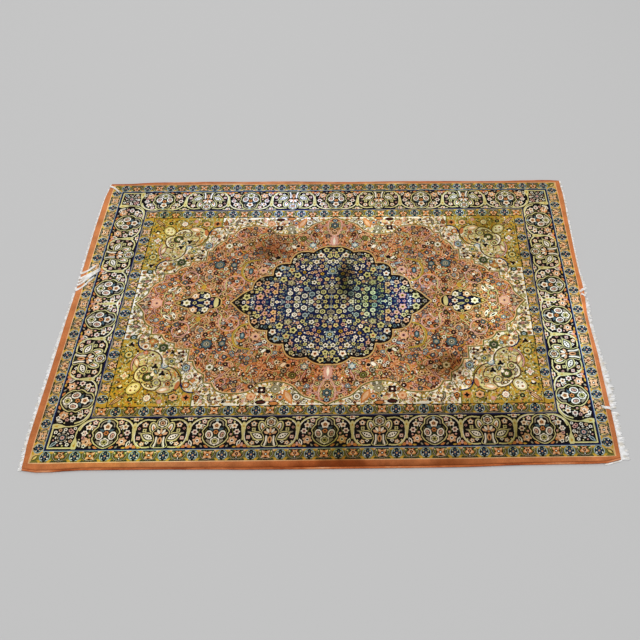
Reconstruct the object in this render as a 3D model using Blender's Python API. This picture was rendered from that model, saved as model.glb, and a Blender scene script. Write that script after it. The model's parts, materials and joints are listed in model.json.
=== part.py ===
"""Hand-knotted rug with overcast side cords and short cotton fringes, in metres.

The rug lies flat: its length runs along X, its width along Y, and its underside is at Z = 0.
A place on it is given by u, from the left end to the right one, and v, from the front edge to the back one.
"""

import math

import bmesh
import bpy
import numpy as np

RUG_LENGTH = 2.10
RUG_WIDTH = 1.45
PILE_TOP = 0.008
PILE_UNEVENNESS = 0.0005
PILE_EDGE_DROP = 0.0018
PILE_EDGE_INSET = 0.0025
CELLS_ALONG = 42
CELLS_ACROSS = 32

CORD_WIDTH = 0.008
CORD_HEIGHT = 0.0065
CORD_SIDES = 8

GAP = 0.0003

STRIP_WIDTH = 0.003
STRIP_HEIGHT = 0.003
STRANDS_PER_END = 96
STRAND_WIDTH = 0.0065
STRAND_TIP_WIDTH = 0.003
STRAND_TIP_HEIGHT = 0.0018
STRAND_DRIFT = 0.0022
LONG_STRAND = 0.015
LOOSE_LIFT = 0.0009
LOOSE_HEIGHT = 0.0022

# How far each edge stands out past the straight line between the corners.
# Columns: share of the way along the edge, metres for one edge, metres for the other.
LONG_EDGES = (
    # u, front, back
    (0.00, 0.011, 0.006),
    (0.03, 0.020, 0.006),
    (0.10, 0.0125, 0.0155),
    (0.22, 0.013, 0.018),
    (0.30, 0.015, 0.0155),
    (0.38, 0.0175, 0.017),
    (0.45, 0.0185, 0.014),
    (0.52, 0.0185, 0.0105),
    (0.65, 0.0185, 0.013),
    (0.72, 0.018, 0.012),
    (0.85, 0.012, 0.0095),
    (0.97, 0.011, 0.014),
    (1.00, -0.004, 0.009),
)
SHORT_EDGES = (
    # v, left, right
    (0.00, -0.003, 0.010),
    (0.08, 0.006, 0.012),
    (0.30, 0.0045, 0.007),
    (0.44, 0.006, -0.003),
    (0.54, 0.004, 0.005),
    (0.63, 0.003, -0.001),
    (0.80, 0.0065, -0.001),
    (0.92, 0.005, 0.001),
    (1.00, -0.006, -0.004),
)
# How long the strands are that lie on the floor past each end.
FRINGE_LENGTHS = (
    # v, left, right
    (0.00, 0.012, 0.030),
    (0.09, 0.011, 0.020),
    (0.20, 0.013, 0.027),
    (0.27, 0.012, 0.022),
    (0.34, 0.013, 0.012),
    (0.46, 0.009, 0.015),
    (0.54, 0.010, 0.012),
    (0.62, 0.009, 0.006),
    (1.00, 0.005, 0.007),
)
# Strands that are turned back over the pile.
LOOSE_STRANDS = (
    # end, v of the root, reach over the pile, drift towards the back edge
    ("left", 0.562, 0.060, 0.072),
    ("left", 0.573, 0.078, 0.086),
    ("left", 0.588, 0.068, 0.070),
    ("left", 0.604, 0.074, 0.064),
    ("left", 0.620, 0.056, 0.046),
    ("left", 0.983, 0.056, -0.040),
    ("right", 0.145, 0.034, 0.016),
    ("right", 0.515, 0.016, 0.010),
    ("right", 0.535, 0.020, -0.008),
)
# The strand that is bent round the worn front corner of the right end.
CORNER_STRAND_STEP = 0.006
CORNER_STRAND_RUN = 0.062
CORNER_STRAND_CLEARANCE = 0.0021


def smooth_column(table, column, place):
    """A value between the rows of a table, eased so that the edge has no kinks."""
    places = [row[0] for row in table]
    after = min(max(np.searchsorted(places, place), 1), len(places) - 1)
    share = (place - places[after - 1]) / (places[after] - places[after - 1])
    share = min(max(share, 0.0), 1.0)
    eased = share * share * (3 - 2 * share)
    return table[after - 1][column] * (1 - eased) + table[after][column] * eased


def blend(start, end, share):
    return start + (end - start) * share


def stepped_column(table, column, place, cells):
    """The smooth value read at each cell's ends and straight between, so that neighbours keep one outline."""
    cell = min(int(place * cells), cells - 1)
    start = smooth_column(table, column, cell / cells)
    end = smooth_column(table, column, (cell + 1) / cells)
    return blend(start, end, place * cells - cell)


def end_x(side, v):
    """X of the pile's end, with side -1 at the left and 1 at the right."""
    column = 1 if side < 0 else 2
    return side * (RUG_LENGTH / 2 + stepped_column(SHORT_EDGES, column, v, CELLS_ACROSS))


def edge_y(side, u):
    """Y of the outer face of a side cord, with side -1 at the front and 1 at the back."""
    column = 1 if side < 0 else 2
    return side * (RUG_WIDTH / 2 + stepped_column(LONG_EDGES, column, u, CELLS_ALONG))


def rug_point(u, v):
    return blend(end_x(-1, v), end_x(1, v), u), blend(edge_y(-1, u), edge_y(1, u), v)


def stations(margin, inset, cells):
    """Places of the body's grid lines: its margin, a close line that rounds the edge, and even cells."""
    near = [margin, margin + inset]
    return near + [cell / cells for cell in range(1, cells)] + [1 - place for place in reversed(near)]


def strand_noise(number, seed):
    """A steady value from -1 to 1 that differs from one strand to the next."""
    return math.sin(number * 12.9898 + seed * 78.233) * math.cos(number * 4.1414 + seed)


def material(name, colour, roughness):
    found = bpy.data.materials.new(name)
    found.use_nodes = True
    shader = found.node_tree.nodes["Principled BSDF"]
    shader.inputs["Base Color"].default_value = (*colour, 1)
    shader.inputs["Roughness"].default_value = roughness
    shader.inputs["Metallic"].default_value = 0
    found.diffuse_color = (*colour, 1)
    return found


def add_object(name, bm, surface, smooth=True):
    bmesh.ops.recalc_face_normals(bm, faces=bm.faces)
    mesh = bpy.data.meshes.new(name)
    bm.to_mesh(mesh)
    bm.free()
    mesh.materials.append(surface)
    if smooth:
        mesh.shade_smooth()
        mesh.set_sharp_from_angle(angle=math.radians(40))
    made = bpy.data.objects.new(name, mesh)
    bpy.context.scene.collection.objects.link(made)
    return made


def knotted_body(surface):
    """The pile and its foundation: a thin slab with soft unevenness and worn-round top edges."""
    columns = stations(0, PILE_EDGE_INSET / RUG_LENGTH, CELLS_ALONG)
    rows = stations((CORD_WIDTH + GAP * 1.2) / RUG_WIDTH, PILE_EDGE_INSET / RUG_WIDTH, CELLS_ACROSS)
    most_column, most_row = len(columns) - 1, len(rows) - 1
    bm = bmesh.new()
    bmesh.ops.create_grid(bm, x_segments=most_column, y_segments=most_row, size=1)
    for point in bm.verts:
        column = round((point.co.x + 1) / 2 * most_column)
        row = round((point.co.y + 1) / 2 * most_row)
        u, v = columns[column], rows[row]
        on_edge = column in (0, most_column) or row in (0, most_row)
        waves = math.sin(7.1 * u + 2.3 * v) * math.cos(9.7 * v - 3.1 * u)
        height = PILE_TOP + PILE_UNEVENNESS * waves - (PILE_EDGE_DROP if on_edge else 0)
        point.co = (*rug_point(u, v), height)
    rim = [edge for edge in bm.edges if edge.is_boundary]
    walls = bmesh.ops.extrude_edge_only(bm, edges=rim)["geom"]
    for point in walls:
        if isinstance(point, bmesh.types.BMVert):
            point.co.z = 0
    underside = [edge for edge in bm.edges if edge.is_boundary]
    bmesh.ops.contextual_create(bm, geom=underside)
    return add_object("rug", bm, surface)


def side_cord(name, side, surface):
    """Warps overcast with wool along one long edge, as one cord with a flat foot."""
    bm = bmesh.new()
    foot = CORD_HEIGHT / 2 * math.cos(math.pi / CORD_SIDES)
    rings = []
    for station in range(CELLS_ALONG + 1):
        x, edge = rug_point(station / CELLS_ALONG, 0 if side < 0 else 1)
        centre_y = edge - side * CORD_WIDTH / 2
        ring = []
        for corner in range(CORD_SIDES):
            angle = 2 * math.pi * (corner + 0.5) / CORD_SIDES
            y = centre_y + CORD_WIDTH / 2 * math.sin(angle)
            ring.append(bm.verts.new((x, y, foot + CORD_HEIGHT / 2 * math.cos(angle))))
        rings.append(ring)
    for ring, following in zip(rings, rings[1:]):
        join_rings(bm, ring, following)
    bm.faces.new(rings[0])
    bm.faces.new(rings[-1])
    return add_object(name, bm, surface)


def join_rings(bm, ring, following):
    for corner in range(len(ring)):
        after = (corner + 1) % len(ring)
        bm.faces.new((ring[corner], ring[after], following[after], following[corner]))


def draw_out(bm, ring, sections):
    """A tube from a ring of points through further sections, closed at its tip."""
    for section in sections:
        following = [bm.verts.new(corner) for corner in section]
        join_rings(bm, ring, following)
        ring = following
    bm.faces.new(ring)


def floor_sections(side, number, x, y, length):
    """Sections of a strand that lies level on the floor, from the strip's outer face to its tip."""
    shares = (0.55, 1.0) if length < LONG_STRAND else (0.35, 0.7, 1.0)
    sections = []
    for share in shares:
        drift = STRAND_DRIFT * strand_noise(number, 3) * share
        drift += 0.4 * STRAND_DRIFT * math.sin(4 * share + number)
        half = blend(STRAND_WIDTH, STRAND_TIP_WIDTH, share * share) / 2
        height = blend(STRIP_HEIGHT, STRAND_TIP_HEIGHT, share)
        out = x + side * length * share
        low, high = y + drift - half, y + drift + half
        sections.append(((out, low, 0), (out, low, height), (out, high, height), (out, high, 0)))
    return sections


def loose_sections(side, inner, outer, low, high, reach, drift):
    """Sections of a strand that rises from the strip's top and lies back over the pile.

    Columns: distance inwards and height of its under face, then of its upper face, and share of the drift.
    """
    rest = PILE_TOP + PILE_UNEVENNESS + LOOSE_LIFT
    top = rest + LOOSE_HEIGHT
    thickness = abs(outer - inner)
    path = (
        (0.0, PILE_TOP - 0.001, -thickness, PILE_TOP - 0.001, 0.02),
        (0.0, rest, -thickness * 0.6, top, 0.05),
        (0.006, rest, 0.006, top, 0.10),
        (reach * 0.4, rest, reach * 0.4, top, 0.36),
        (reach * 0.75, rest, reach * 0.75, top - 0.0002, 0.76),
        (reach, rest, reach, top - 0.0008, 1.0),
    )
    sections = []
    for under_in, under_z, upper_in, upper_z, share in path:
        shift = drift * share
        under = inner - side * under_in
        upper = inner - side * upper_in
        sections.append(
            (
                (under, low + shift, under_z),
                (upper, low + shift, upper_z),
                (upper, high + shift, upper_z),
                (under, high + shift, under_z),
            )
        )
    return sections


def corner_sections(side, inner, outer, y):
    """Sections of the strand that leaves the strip's front end and turns back along the side cord."""
    middle = (inner + outer) / 2
    turn = CORNER_STRAND_STEP
    half = STRIP_WIDTH / 2
    sections = [
        (
            (inner, y - turn + half, 0),
            (inner, y - turn + half, STRIP_HEIGHT),
            (outer, y - turn - half, STRIP_HEIGHT),
            (outer, y - turn - half, 0),
        )
    ]
    left, right = end_x(-1, 0), end_x(1, 0)
    for share, height in ((0.5, STRIP_HEIGHT * 0.9), (1.0, STRAND_TIP_HEIGHT)):
        back = middle - side * CORNER_STRAND_RUN * share
        near = edge_y(-1, (back - left) / (right - left)) - CORNER_STRAND_CLEARANCE
        far = near - STRIP_WIDTH * (1 - 0.5 * share)
        sections.append(((back, near, 0), (back, near, height), (back, far, height), (back, far, 0)))
    return sections


def fringe(name, side, surface):
    """Cotton warp ends: a narrow strip beside the pile's end, with strands that stand out from it."""
    end_name = "left" if side < 0 else "right"
    u = 0 if side < 0 else 1
    front, back = edge_y(-1, u), edge_y(1, u)
    column = 1 if side < 0 else 2
    pitch = (back - front) / STRANDS_PER_END
    loose = {}
    for end, root, reach, drift in LOOSE_STRANDS:
        if end == end_name:
            loose[int(root * STRANDS_PER_END)] = (reach, drift)

    bm = bmesh.new()

    def station(y):
        v = (y - front) / (back - front)
        inner = end_x(side, v) + side * GAP
        outer = inner + side * STRIP_WIDTH
        corners = ((inner, y, 0), (inner, y, STRIP_HEIGHT), (outer, y, STRIP_HEIGHT), (outer, y, 0))
        return [bm.verts.new(corner) for corner in corners]

    def wall(before, after, skipped=()):
        for first, second in ((0, 1), (1, 2), (2, 3), (3, 0)):
            if (first, second) not in skipped:
                bm.faces.new((before[first], before[second], after[second], after[first]))

    ring = station(front)
    start = ring
    for number in range(STRANDS_PER_END):
        y = front + pitch * (number + 0.5)
        low, high = station(y - STRAND_WIDTH / 2), station(y + STRAND_WIDTH / 2)
        wall(ring, low)
        inner, outer = low[1].co.x, low[2].co.x
        if number in loose:
            wall(low, high, skipped=((1, 2),))
            sections = loose_sections(side, inner, outer, low[1].co.y, high[1].co.y, *loose[number])
            draw_out(bm, [low[1], low[2], high[2], high[1]], sections)
        else:
            wall(low, high, skipped=((2, 3),))
            length = smooth_column(FRINGE_LENGTHS, column, (number + 0.5) / STRANDS_PER_END)
            length *= 1 + 0.18 * strand_noise(number, 1)
            sections = floor_sections(side, number, outer, y, length)
            draw_out(bm, [low[3], low[2], high[2], high[3]], sections)
        ring = high
    finish = station(back)
    wall(ring, finish)
    bm.faces.new(finish)
    if side > 0:
        draw_out(bm, start, corner_sections(side, start[0].co.x, start[2].co.x, front))
    else:
        bm.faces.new(start)
    return add_object(name, bm, surface, smooth=False)


def centre_on_origin(objects):
    """Moves the parts together so that the origin is the middle of their box, at the floor."""
    points = np.array([corner for made in objects for corner in made.bound_box])
    middle = (points.min(axis=0) + points.max(axis=0)) / 2
    for made in objects:
        made.location = (-middle[0], -middle[1], 0)


def main():
    for old in list(bpy.data.objects):
        bpy.data.objects.remove(old, do_unlink=True)
    pile = material("knotted wool", (0.42, 0.20, 0.11), 0.9)
    cord = material("overcast wool", (0.48, 0.17, 0.08), 0.9)
    cotton = material("fringe cotton", (0.80, 0.78, 0.70), 0.85)
    objects = [
        knotted_body(pile),
        side_cord("selvedge_front", -1, cord),
        side_cord("selvedge_back", 1, cord),
        fringe("fringe_left", -1, cotton),
        fringe("fringe_right", 1, cotton),
    ]
    centre_on_origin(objects)


main()
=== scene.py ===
import json
import math

import bpy
import numpy as np
from mathutils import Matrix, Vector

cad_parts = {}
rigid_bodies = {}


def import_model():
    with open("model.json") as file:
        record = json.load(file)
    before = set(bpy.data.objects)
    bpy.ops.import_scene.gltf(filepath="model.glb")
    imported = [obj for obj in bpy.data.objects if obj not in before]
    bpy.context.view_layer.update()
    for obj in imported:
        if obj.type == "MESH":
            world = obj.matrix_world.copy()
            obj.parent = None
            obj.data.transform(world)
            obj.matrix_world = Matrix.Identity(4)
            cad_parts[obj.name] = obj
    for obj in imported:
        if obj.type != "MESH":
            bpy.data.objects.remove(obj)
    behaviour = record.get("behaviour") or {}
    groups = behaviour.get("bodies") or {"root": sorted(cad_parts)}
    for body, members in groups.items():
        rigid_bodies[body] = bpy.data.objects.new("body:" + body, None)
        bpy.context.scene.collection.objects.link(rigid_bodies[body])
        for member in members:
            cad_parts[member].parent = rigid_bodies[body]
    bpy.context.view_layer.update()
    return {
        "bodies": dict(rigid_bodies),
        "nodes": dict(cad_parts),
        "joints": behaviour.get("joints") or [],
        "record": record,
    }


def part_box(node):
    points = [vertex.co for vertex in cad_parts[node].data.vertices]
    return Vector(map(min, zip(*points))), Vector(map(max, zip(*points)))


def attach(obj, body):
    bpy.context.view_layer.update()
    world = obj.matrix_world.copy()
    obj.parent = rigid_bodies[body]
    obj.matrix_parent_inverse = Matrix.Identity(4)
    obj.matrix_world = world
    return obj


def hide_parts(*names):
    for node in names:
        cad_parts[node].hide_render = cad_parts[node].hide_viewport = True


# A hand-knotted wool rug with overcast sides and short cotton fringes, lying flat.
# Its length runs along X and its width along Y, and the pattern is counted in knots.

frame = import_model()
print("solids loaded")

rug = {
    # in metres
    "length": 2.10,
    "width": 1.45,
    "pile top": 0.008,
    "long waves": 0.0005,
    "short waves": 0.00016,
    "side cord width": 0.008,
    "side cord height": 0.0065,
    "gap": 0.0003,
    # the rim is worn round: how far it drops in metres, and over how many millimetres
    "rim drop": 0.0018,
    "rim reach": 2.7,
    # the whole cloth with its side cords, laid flat
    "flat size": (1.48, 2.11),
    # the cells of the solids, whose edges are straight
    "cells along": 42,
    "cells across": 32,
    "knots along": 1560,
    "knots across": 1080,
    "knots per face": 5,
    # in knots: the band outside the pattern, what a side cord covers, and how far out the rim's foot lies
    "plain band": 15,
    "cord band": 6.2,
    "rim foot": 4.6,
}
# Where a line of the pattern lies on the rug, in knots: the weaver beat some parts closer than others.
# The two rows of wovenAlong hold near the front edge and near the back edge.
wovenAlong = (
    (0.20, ((0, 0), (14, 17.5), (47, 47), (149, 150.7), (179, 182.6), (780, 785),
            (1381, 1388.4), (1411, 1415.7), (1512, 1517.9), (1546, 1552.2), (1560, 1560))),
    (0.92, ((0, 0), (14, 18.3), (47, 51.2), (149, 152.1), (179, 185), (780, 784),
            (1381, 1378.5), (1411, 1410), (1512, 1505.5), (1546, 1541.5), (1560, 1560))),
)
wovenAcross = (
    (0, 0), (47, 47), (179, 180), (540, 547), (901, 911), (937, 950), (1034, 1041), (1066, 1072),
    (1080, 1085),
)
# how far each edge stands out past the straight line between the corners, in metres
longEdges = (
    # share of the way along, front edge, back edge
    (0.00, 0.011, 0.006),
    (0.03, 0.020, 0.006),
    (0.10, 0.0125, 0.0155),
    (0.22, 0.013, 0.018),
    (0.30, 0.015, 0.0155),
    (0.38, 0.0175, 0.017),
    (0.45, 0.0185, 0.014),
    (0.52, 0.0185, 0.0105),
    (0.65, 0.0185, 0.013),
    (0.72, 0.018, 0.012),
    (0.85, 0.012, 0.0095),
    (0.97, 0.011, 0.014),
    (1.00, -0.004, 0.009),
)
shortEdges = (
    # share of the way across, left end, right end
    (0.00, -0.003, 0.010),
    (0.08, 0.006, 0.012),
    (0.30, 0.0045, 0.007),
    (0.44, 0.006, -0.003),
    (0.54, 0.004, 0.005),
    (0.63, 0.003, -0.001),
    (0.80, 0.0065, -0.001),
    (0.92, 0.005, 0.001),
    (1.00, -0.006, -0.004),
)


def eased(table, column, place):
    # a value between the rows of a table, with no kink at a row
    places = [row[0] for row in table]
    after = min(max(int(np.searchsorted(places, place)), 1), len(places) - 1)
    share = (place - places[after - 1]) / (places[after] - places[after - 1])
    share = min(max(share, 0.0), 1.0)
    share = share * share * (3 - 2 * share)
    return table[after - 1][column] * (1 - share) + table[after][column] * share


def stepped(table, column, place, cells):
    # the same, straight between the ends of each cell, as the solids have it
    cell = min(int(place * cells), cells - 1)
    share = place * cells - cell
    before = eased(table, column, cell / cells)
    after = eased(table, column, (cell + 1) / cells)
    return before * (1 - share) + after * share


def endX(side, v):
    return side * (rug["length"] / 2 + stepped(shortEdges, 1 if side < 0 else 2, v, rug["cells across"]))


def edgeY(side, u):
    return side * (rug["width"] / 2 + stepped(longEdges, 1 if side < 0 else 2, u, rug["cells along"]))


# the solids were moved together so that their box is centred
leftMost = min(endX(-1, cell / rug["cells across"]) for cell in range(rug["cells across"] + 1))
frontMost = min(edgeY(-1, cell / rug["cells along"]) for cell in range(rug["cells along"] + 1))
shift = np.array((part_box("rug")[0][0] - leftMost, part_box("selvedge_front")[0][1] - frontMost, 0))


def linear(code):
    # an sRGB hex colour as linear light
    parts = [int(code[k:k + 2], 16) / 255 for k in (1, 3, 5)]
    return [part / 12.92 if part <= 0.04045 else ((part + 0.055) / 1.055) ** 2.4 for part in parts] + [1.0]


def addNode(tree, kind, settings=None, links=None):
    # one node with its settings, and its inputs linked or set
    made = tree.nodes.new("ShaderNode" + kind)
    for name, value in (settings or {}).items():
        setattr(made, name, value)
    for name, value in (links or {}).items():
        if isinstance(value, bpy.types.NodeSocket):
            tree.links.new(value, made.inputs[name])
        else:
            made.inputs[name].default_value = value
    return made


def newMaterial(name):
    made = bpy.data.materials.new(name)
    made.use_nodes = True
    tree = made.node_tree
    return made, tree, tree.nodes["Principled BSDF"]


def newObject(name, mesh, material):
    mesh.materials.append(material)
    made = bpy.data.objects.new(name, mesh)
    bpy.context.scene.collection.objects.link(made)
    return made


# the pattern

pattern = {
    # its lines, in knots in from the edge
    "outer guard": (14, 44),
    "border": (50, 143),
    "inner guard": (149, 177),
    "field": 179,
    "pieces meet": 180,
    # knots from the middle of one motif to the next
    "guard flowers along": 38.2,
    "guard flowers across": 37.4,
    "border cells": 146,
}
dyes = {
    # the wools as they look now, after years of light
    "navy": "#131a42",
    "dark": "#110a09",
    "sand": "#c9a263",
    "rust": "#bb6f40",
    "gold": "#ba9130",
    "olive": "#6d682c",
    "green": "#333d22",
    "cream": "#f0e4ca",
    "lemon": "#cdc07e",
    "pink": "#d29c88",
    "peach": "#dcab7c",
    "orange": "#c47c40",
    "sky": "#9aa8a4",
    "teal": "#4a5f62",
    "stone": "#9a8d72",
    "maroon": "#461d14",
}
(navy, dark, sand, rust, gold, olive, green, cream,
 lemon, pink, peach, orange, sky, teal, stone, maroon) = range(len(dyes))
dyeCount = float(len(dyes))      # a face holds its knots as digits to this base

# One quarter is drawn, and the others mirror it.
# A place is a complex number: knots along and across from the rug's corner.
halfAlong, halfAcross = rug["knots along"] // 2, rug["knots across"] // 2
allRows, allColumns = np.mgrid[0:halfAcross, 0:halfAlong]
allPlaces = (allColumns + 0.5) + 1j * (allRows + 0.5)
chart = np.zeros((halfAcross, halfAlong), np.uint8)
allowed = np.ones(chart.shape, bool)      # where knots may be drawn

# A frame is where a motif stands: its origin, its heading and whether it is turned over.
plain = (0, 1, False)


def put(frame, place):
    # where a place of the motif lies on the rug
    origin, heading, turned = frame
    return origin + heading * (complex(-place.real, place.imag) if turned else place)


def window(frame, place, reach):
    # the knots round a place of the motif, which of them are free, and where they lie from it
    centre = put(frame, place)
    x, y = centre.real, centre.imag
    x0, x1 = max(0, int(x - reach)), min(halfAlong, int(x + reach) + 2)
    y0, y1 = max(0, int(y - reach)), min(halfAcross, int(y + reach) + 2)
    if x0 >= x1 or y0 >= y1:
        return None, None, None
    local = (allPlaces[y0:y1, x0:x1] - centre) / frame[1]
    if frame[2]:
        local = -np.conj(local)
    return chart[y0:y1, x0:x1], allowed[y0:y1, x0:x1], local


def disc(frame, place, radius, dye):
    knots, free, local = window(frame, place, radius + 1)
    if knots is not None:
        knots[(np.abs(local) <= radius) & free] = dye


def oval(frame, place, length, width, angle, dye):
    knots, free, local = window(frame, place, max(length, width) / 2 + 1)
    if knots is not None:
        local = local * np.exp(-1j * math.radians(angle))
        knots[((local.real * 2 / length) ** 2 + (local.imag * 2 / width) ** 2 <= 1) & free] = dye


def petals(frame, place, radius, count, depth, dye, turn=90):
    # a round flower with notches between its petals, as deep as this share of the radius
    knots, free, local = window(frame, place, radius + 1)
    if knots is not None:
        wave = 0.5 - 0.5 * np.cos(count * (np.angle(local) - math.radians(turn)))
        knots[(np.abs(local) <= radius * (1 - depth * wave)) & free] = dye


def leaf(frame, start, end, width, dye, belly=0.45):
    # pointed at both ends and widest at this share of the way
    middle = (start + end) / 2
    long = abs(end - start)
    knots, free, local = window(frame, middle, long / 2 + width)
    if knots is not None:
        local = (local + middle - start) / (end - start)
        t = np.clip(local.real, 0, 1)
        bowed = np.sin(np.pi * t ** (math.log(0.5) / math.log(belly)))
        knots[(np.abs(local.imag) * long <= width / 2 * bowed) & (t > 0) & (t < 1) & free] = dye


def smooth(points, closed=False):
    # a curve through the points, with a place for each knot of its length
    points = [complex(point) for point in points]
    if closed:
        ends = [points[-1]] + points + points[:2]
    else:
        ends = [2 * points[0] - points[1]] + points + [2 * points[-1] - points[-2]]
    found = []
    for a, b, c, d in zip(ends, ends[1:], ends[2:], ends[3:]):
        count = max(2, int(abs(c - b)))
        for k in range(count):
            t = k / count
            bend = (2 * a - 5 * b + 4 * c - d) * t * t + (3 * b - a - 3 * c + d) * t ** 3
            found.append(b + ((c - a) * t + bend) / 2)
    return found if closed else found + [points[-1]]


def stroke(frame, points, width, dye, closed=False):
    for place in smooth(points, closed):
        disc(frame, place, width / 2, dye)


def within(outline):
    # the knots inside a closed line
    found = np.zeros(chart.shape, bool)
    for a, b in zip(outline, outline[1:] + outline[:1]):
        low, high = sorted((a.imag, b.imag))
        crossed = (allRows[:, 0] + 0.5 > low) & (allRows[:, 0] + 0.5 <= high)
        if crossed.any():
            meets = a.real + (allRows[crossed] + 0.5 - a.imag) / (b.imag - a.imag) * (b.real - a.real)
            found[crossed] ^= allColumns[crossed] + 0.5 < meets
    return found


def near(outline, reach):
    # the knots within reach of a line
    found = np.zeros(chart.shape, bool)
    for place in outline:
        x0, y0 = max(0, int(place.real - reach)), max(0, int(place.imag - reach))
        x1, y1 = int(place.real + reach) + 2, int(place.imag + reach) + 2
        found[y0:y1, x0:x1] |= np.abs(allPlaces[y0:y1, x0:x1] - place) <= reach
    return found


def grownFrom(mask, steps):
    # the knots of a mask and those up to so many steps away from it
    for _ in range(steps):
        wide = mask.copy()
        wide[1:] |= mask[:-1]
        wide[:-1] |= mask[1:]
        wide[:, 1:] |= mask[:, :-1]
        wide[:, :-1] |= mask[:, 1:]
        mask = wide
    return mask


def shape(frame, points, dye, edge=0, edgeDye=0):
    # a form that is the same on both sides of the motif's middle, from the points of one side
    points = [complex(point) for point in points]
    others = [complex(-point.real, point.imag) for point in reversed(points)]
    half = smooth(points + others, True)
    outline = [put(frame, place) for place in half]
    if edge:
        for place in half:
            disc(frame, place, edge, edgeDye)
    chart[within(outline) & allowed] = dye


def bloom(frame, place, *rings):
    # a flower from the outside in: each ring is a radius and a dye, and perhaps petals, depth and turn
    for radius, dye, *form in rings:
        if form:
            petals(frame, place, radius, form[0], form[1], dye, *form[2:])
        else:
            disc(frame, place, radius, dye)


def draw(steps, origin, heading=1, sides=(False, True)):
    # a motif at its place, with its mirror image unless only one side is asked for
    for what, *rest in steps:
        for side in sides:
            what((origin, heading, side), *rest)


def lobed(corners):
    # an outline as its corners give it, each way between two of them bulging as an arc
    found = []
    for (a, _), (b, bulge) in zip(corners, corners[1:]):
        count = max(2, int(abs(b - a)))
        for k in range(count):
            t = k / count
            found.append(a + (b - a) * (t - 4j * bulge * t * (1 - t)))
    return found + [corners[-1][0]]


def fieldLine(outline, layers):
    # a line along an outline in layers, each a width and a dye
    for width, dye in layers:
        for place in outline:
            disc(plain, place, width / 2, dye)


def outlined(area, ground, dye):
    # a line round all that was drawn on the ground
    bare = (chart == ground) & area
    chart[bare & grownFrom(area & ~bare, 1)] = dye


def sown(area, spacing, unevenness, seed, room):
    # places on a shaken honeycomb inside the area, with room round them; those beside an axis move onto it
    chance = np.random.default_rng(seed)
    rowShare = 0.866      # rows of a honeycomb stand nearer than its cells
    rowStep = spacing * rowShare
    found = []
    for row in range(int(halfAcross / rowStep) + 2):
        for column in range(int(halfAlong / spacing) + 2):
            shake = chance.uniform(-1, 1, 2) * unevenness * spacing
            x = halfAlong - (column + 0.5 * (row % 2)) * spacing + shake[0]
            y = halfAcross - row * spacing * rowShare + shake[1]
            x = halfAlong if halfAlong - x < spacing * 0.4 else x
            y = halfAcross if halfAcross - y < spacing * 0.4 else y
            around = [(x + dx, y + dy) for dx, dy in ((0, 0), (room, 0), (-room, 0), (0, room), (0, -room))]
            knots = [(min(int(b), halfAcross - 1), min(int(a), halfAlong - 1)) for a, b in around]
            if min(min(pair) for pair in around) >= 0 and all(area[knot] for knot in knots):
                found.append(complex(x, y))
    return found, chance


def clear(place, reach, grounds):
    # whether only the ground lies round a place
    x, y = int(place.real), int(place.imag)
    part = chart[max(y - reach, 0):y + reach + 1, max(x - reach, 0):x + reach + 1]
    return bool(np.isin(part, grounds).all())


def pick(chance, *choices):
    return int(chance.choice(choices))


bandDyes = (
    # where each band and each narrow stripe starts, in knots in from the edge
    (13, peach), (14, gold), (44, sky), (46, navy), (50, dark), (143, navy), (147, stone), (149, gold),
    (177, dark), (179, cream),
)


def drawBands():
    chart[:] = rust
    for start, dye in bandDyes:
        chart[start:, start:] = dye
    # the guards of the long sides are greener, and the outer ones of the short sides sandy
    chart[(chart == gold) & (allRows < allColumns)] = olive
    chart[(chart == gold) & (allColumns < pattern["border"][0])] = sand


# A motif is a list of forms, drawn one over the other, each with its places, sizes and dyes.

cup = (
    (leaf, -22 + 2j, -6 + 1j, 8, green),
    (leaf, -22 + 28j, -5 + 29j, 7, green),
    (leaf, -17 + 7j, -8 + 2j, 4, gold),
    (stroke, (-19.6 + 27j, -18 + 15j, -11 + 5j, 0 + 2j), 5, dark),
    (stroke, (-19.6 + 27j, -18 + 15j, -11 + 5j, 0 + 2j), 1.9, stone),
    (disc, -20 + 28j, 3, peach),
    (disc, -15 + 24j, 2, lemon),
)
blueFlower = (
    (leaf, -20 + 5j, -7 + 1j, 6, gold),
    (leaf, -20 + 25j, -7 + 29j, 6, gold),
    (bloom, 0 + 15j, (14.6, dark), (10, teal, 6, 0.45), (6, navy), (3.6, stone, 5, 0.3), (1.6, orange)),
    (stroke, (-4.6 + 27j, -10.4 + 23.4j, -13 + 15j, -10.4 + 6.6j, -4.6 + 3j), 2.4, sky),
    (disc, -7.6 + 10j, 1.7, cream),
    (disc, -6.4 + 21j, 1.7, lemon),
)


def crossFlower(petal):
    # petal is the dye of the petals: the short sides have paler ones
    return cup + (
        (petals, 0 + 16j, 15, 4, 0.36, dark, 45),
        (petals, 0 + 16j, 12.8, 4, 0.36, petal, 45),
        (leaf, -11 + 27j, -3 + 19j, 5, peach),
        (leaf, -11 + 5j, -3 + 13j, 5, peach),
        (disc, -9.4 + 16j, 2.4, dark),
        (disc, 0 + 26.6j, 2.6, dark),
        (disc, 0 + 5.8j, 2.4, dark),
        (bloom, 0 + 16j, (4.4, dark), (2.2, cream)),
    )


def dropFlower(petal):
    return cup + (
        (petals, 0 + 17.6j, 14.8, 5, 0.3, dark, 270),
        (petals, 0 + 17.6j, 12.6, 5, 0.3, petal, 270),
        (petals, 0 + 17.6j, 9, 5, 0.3, peach, 270),
        (disc, -7.4 + 23.4j, 2.6, dark),
        (leaf, 0 + 3.4j, 0 + 13.4j, 7, dark),
        (leaf, 0 + 5j, 0 + 10j, 2.6, cream),
        (bloom, 0 + 18j, (4.6, dark), (2.2, rust)),
        (disc, 0 + 27.6j, 2, dark),
    )


def guardFlower(k, petal):
    # every second flower is blue, and the other two take turns between them
    if k % 2:
        return blueFlower
    return crossFlower(petal) if k % 4 == 0 else dropFlower(petal)


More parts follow.
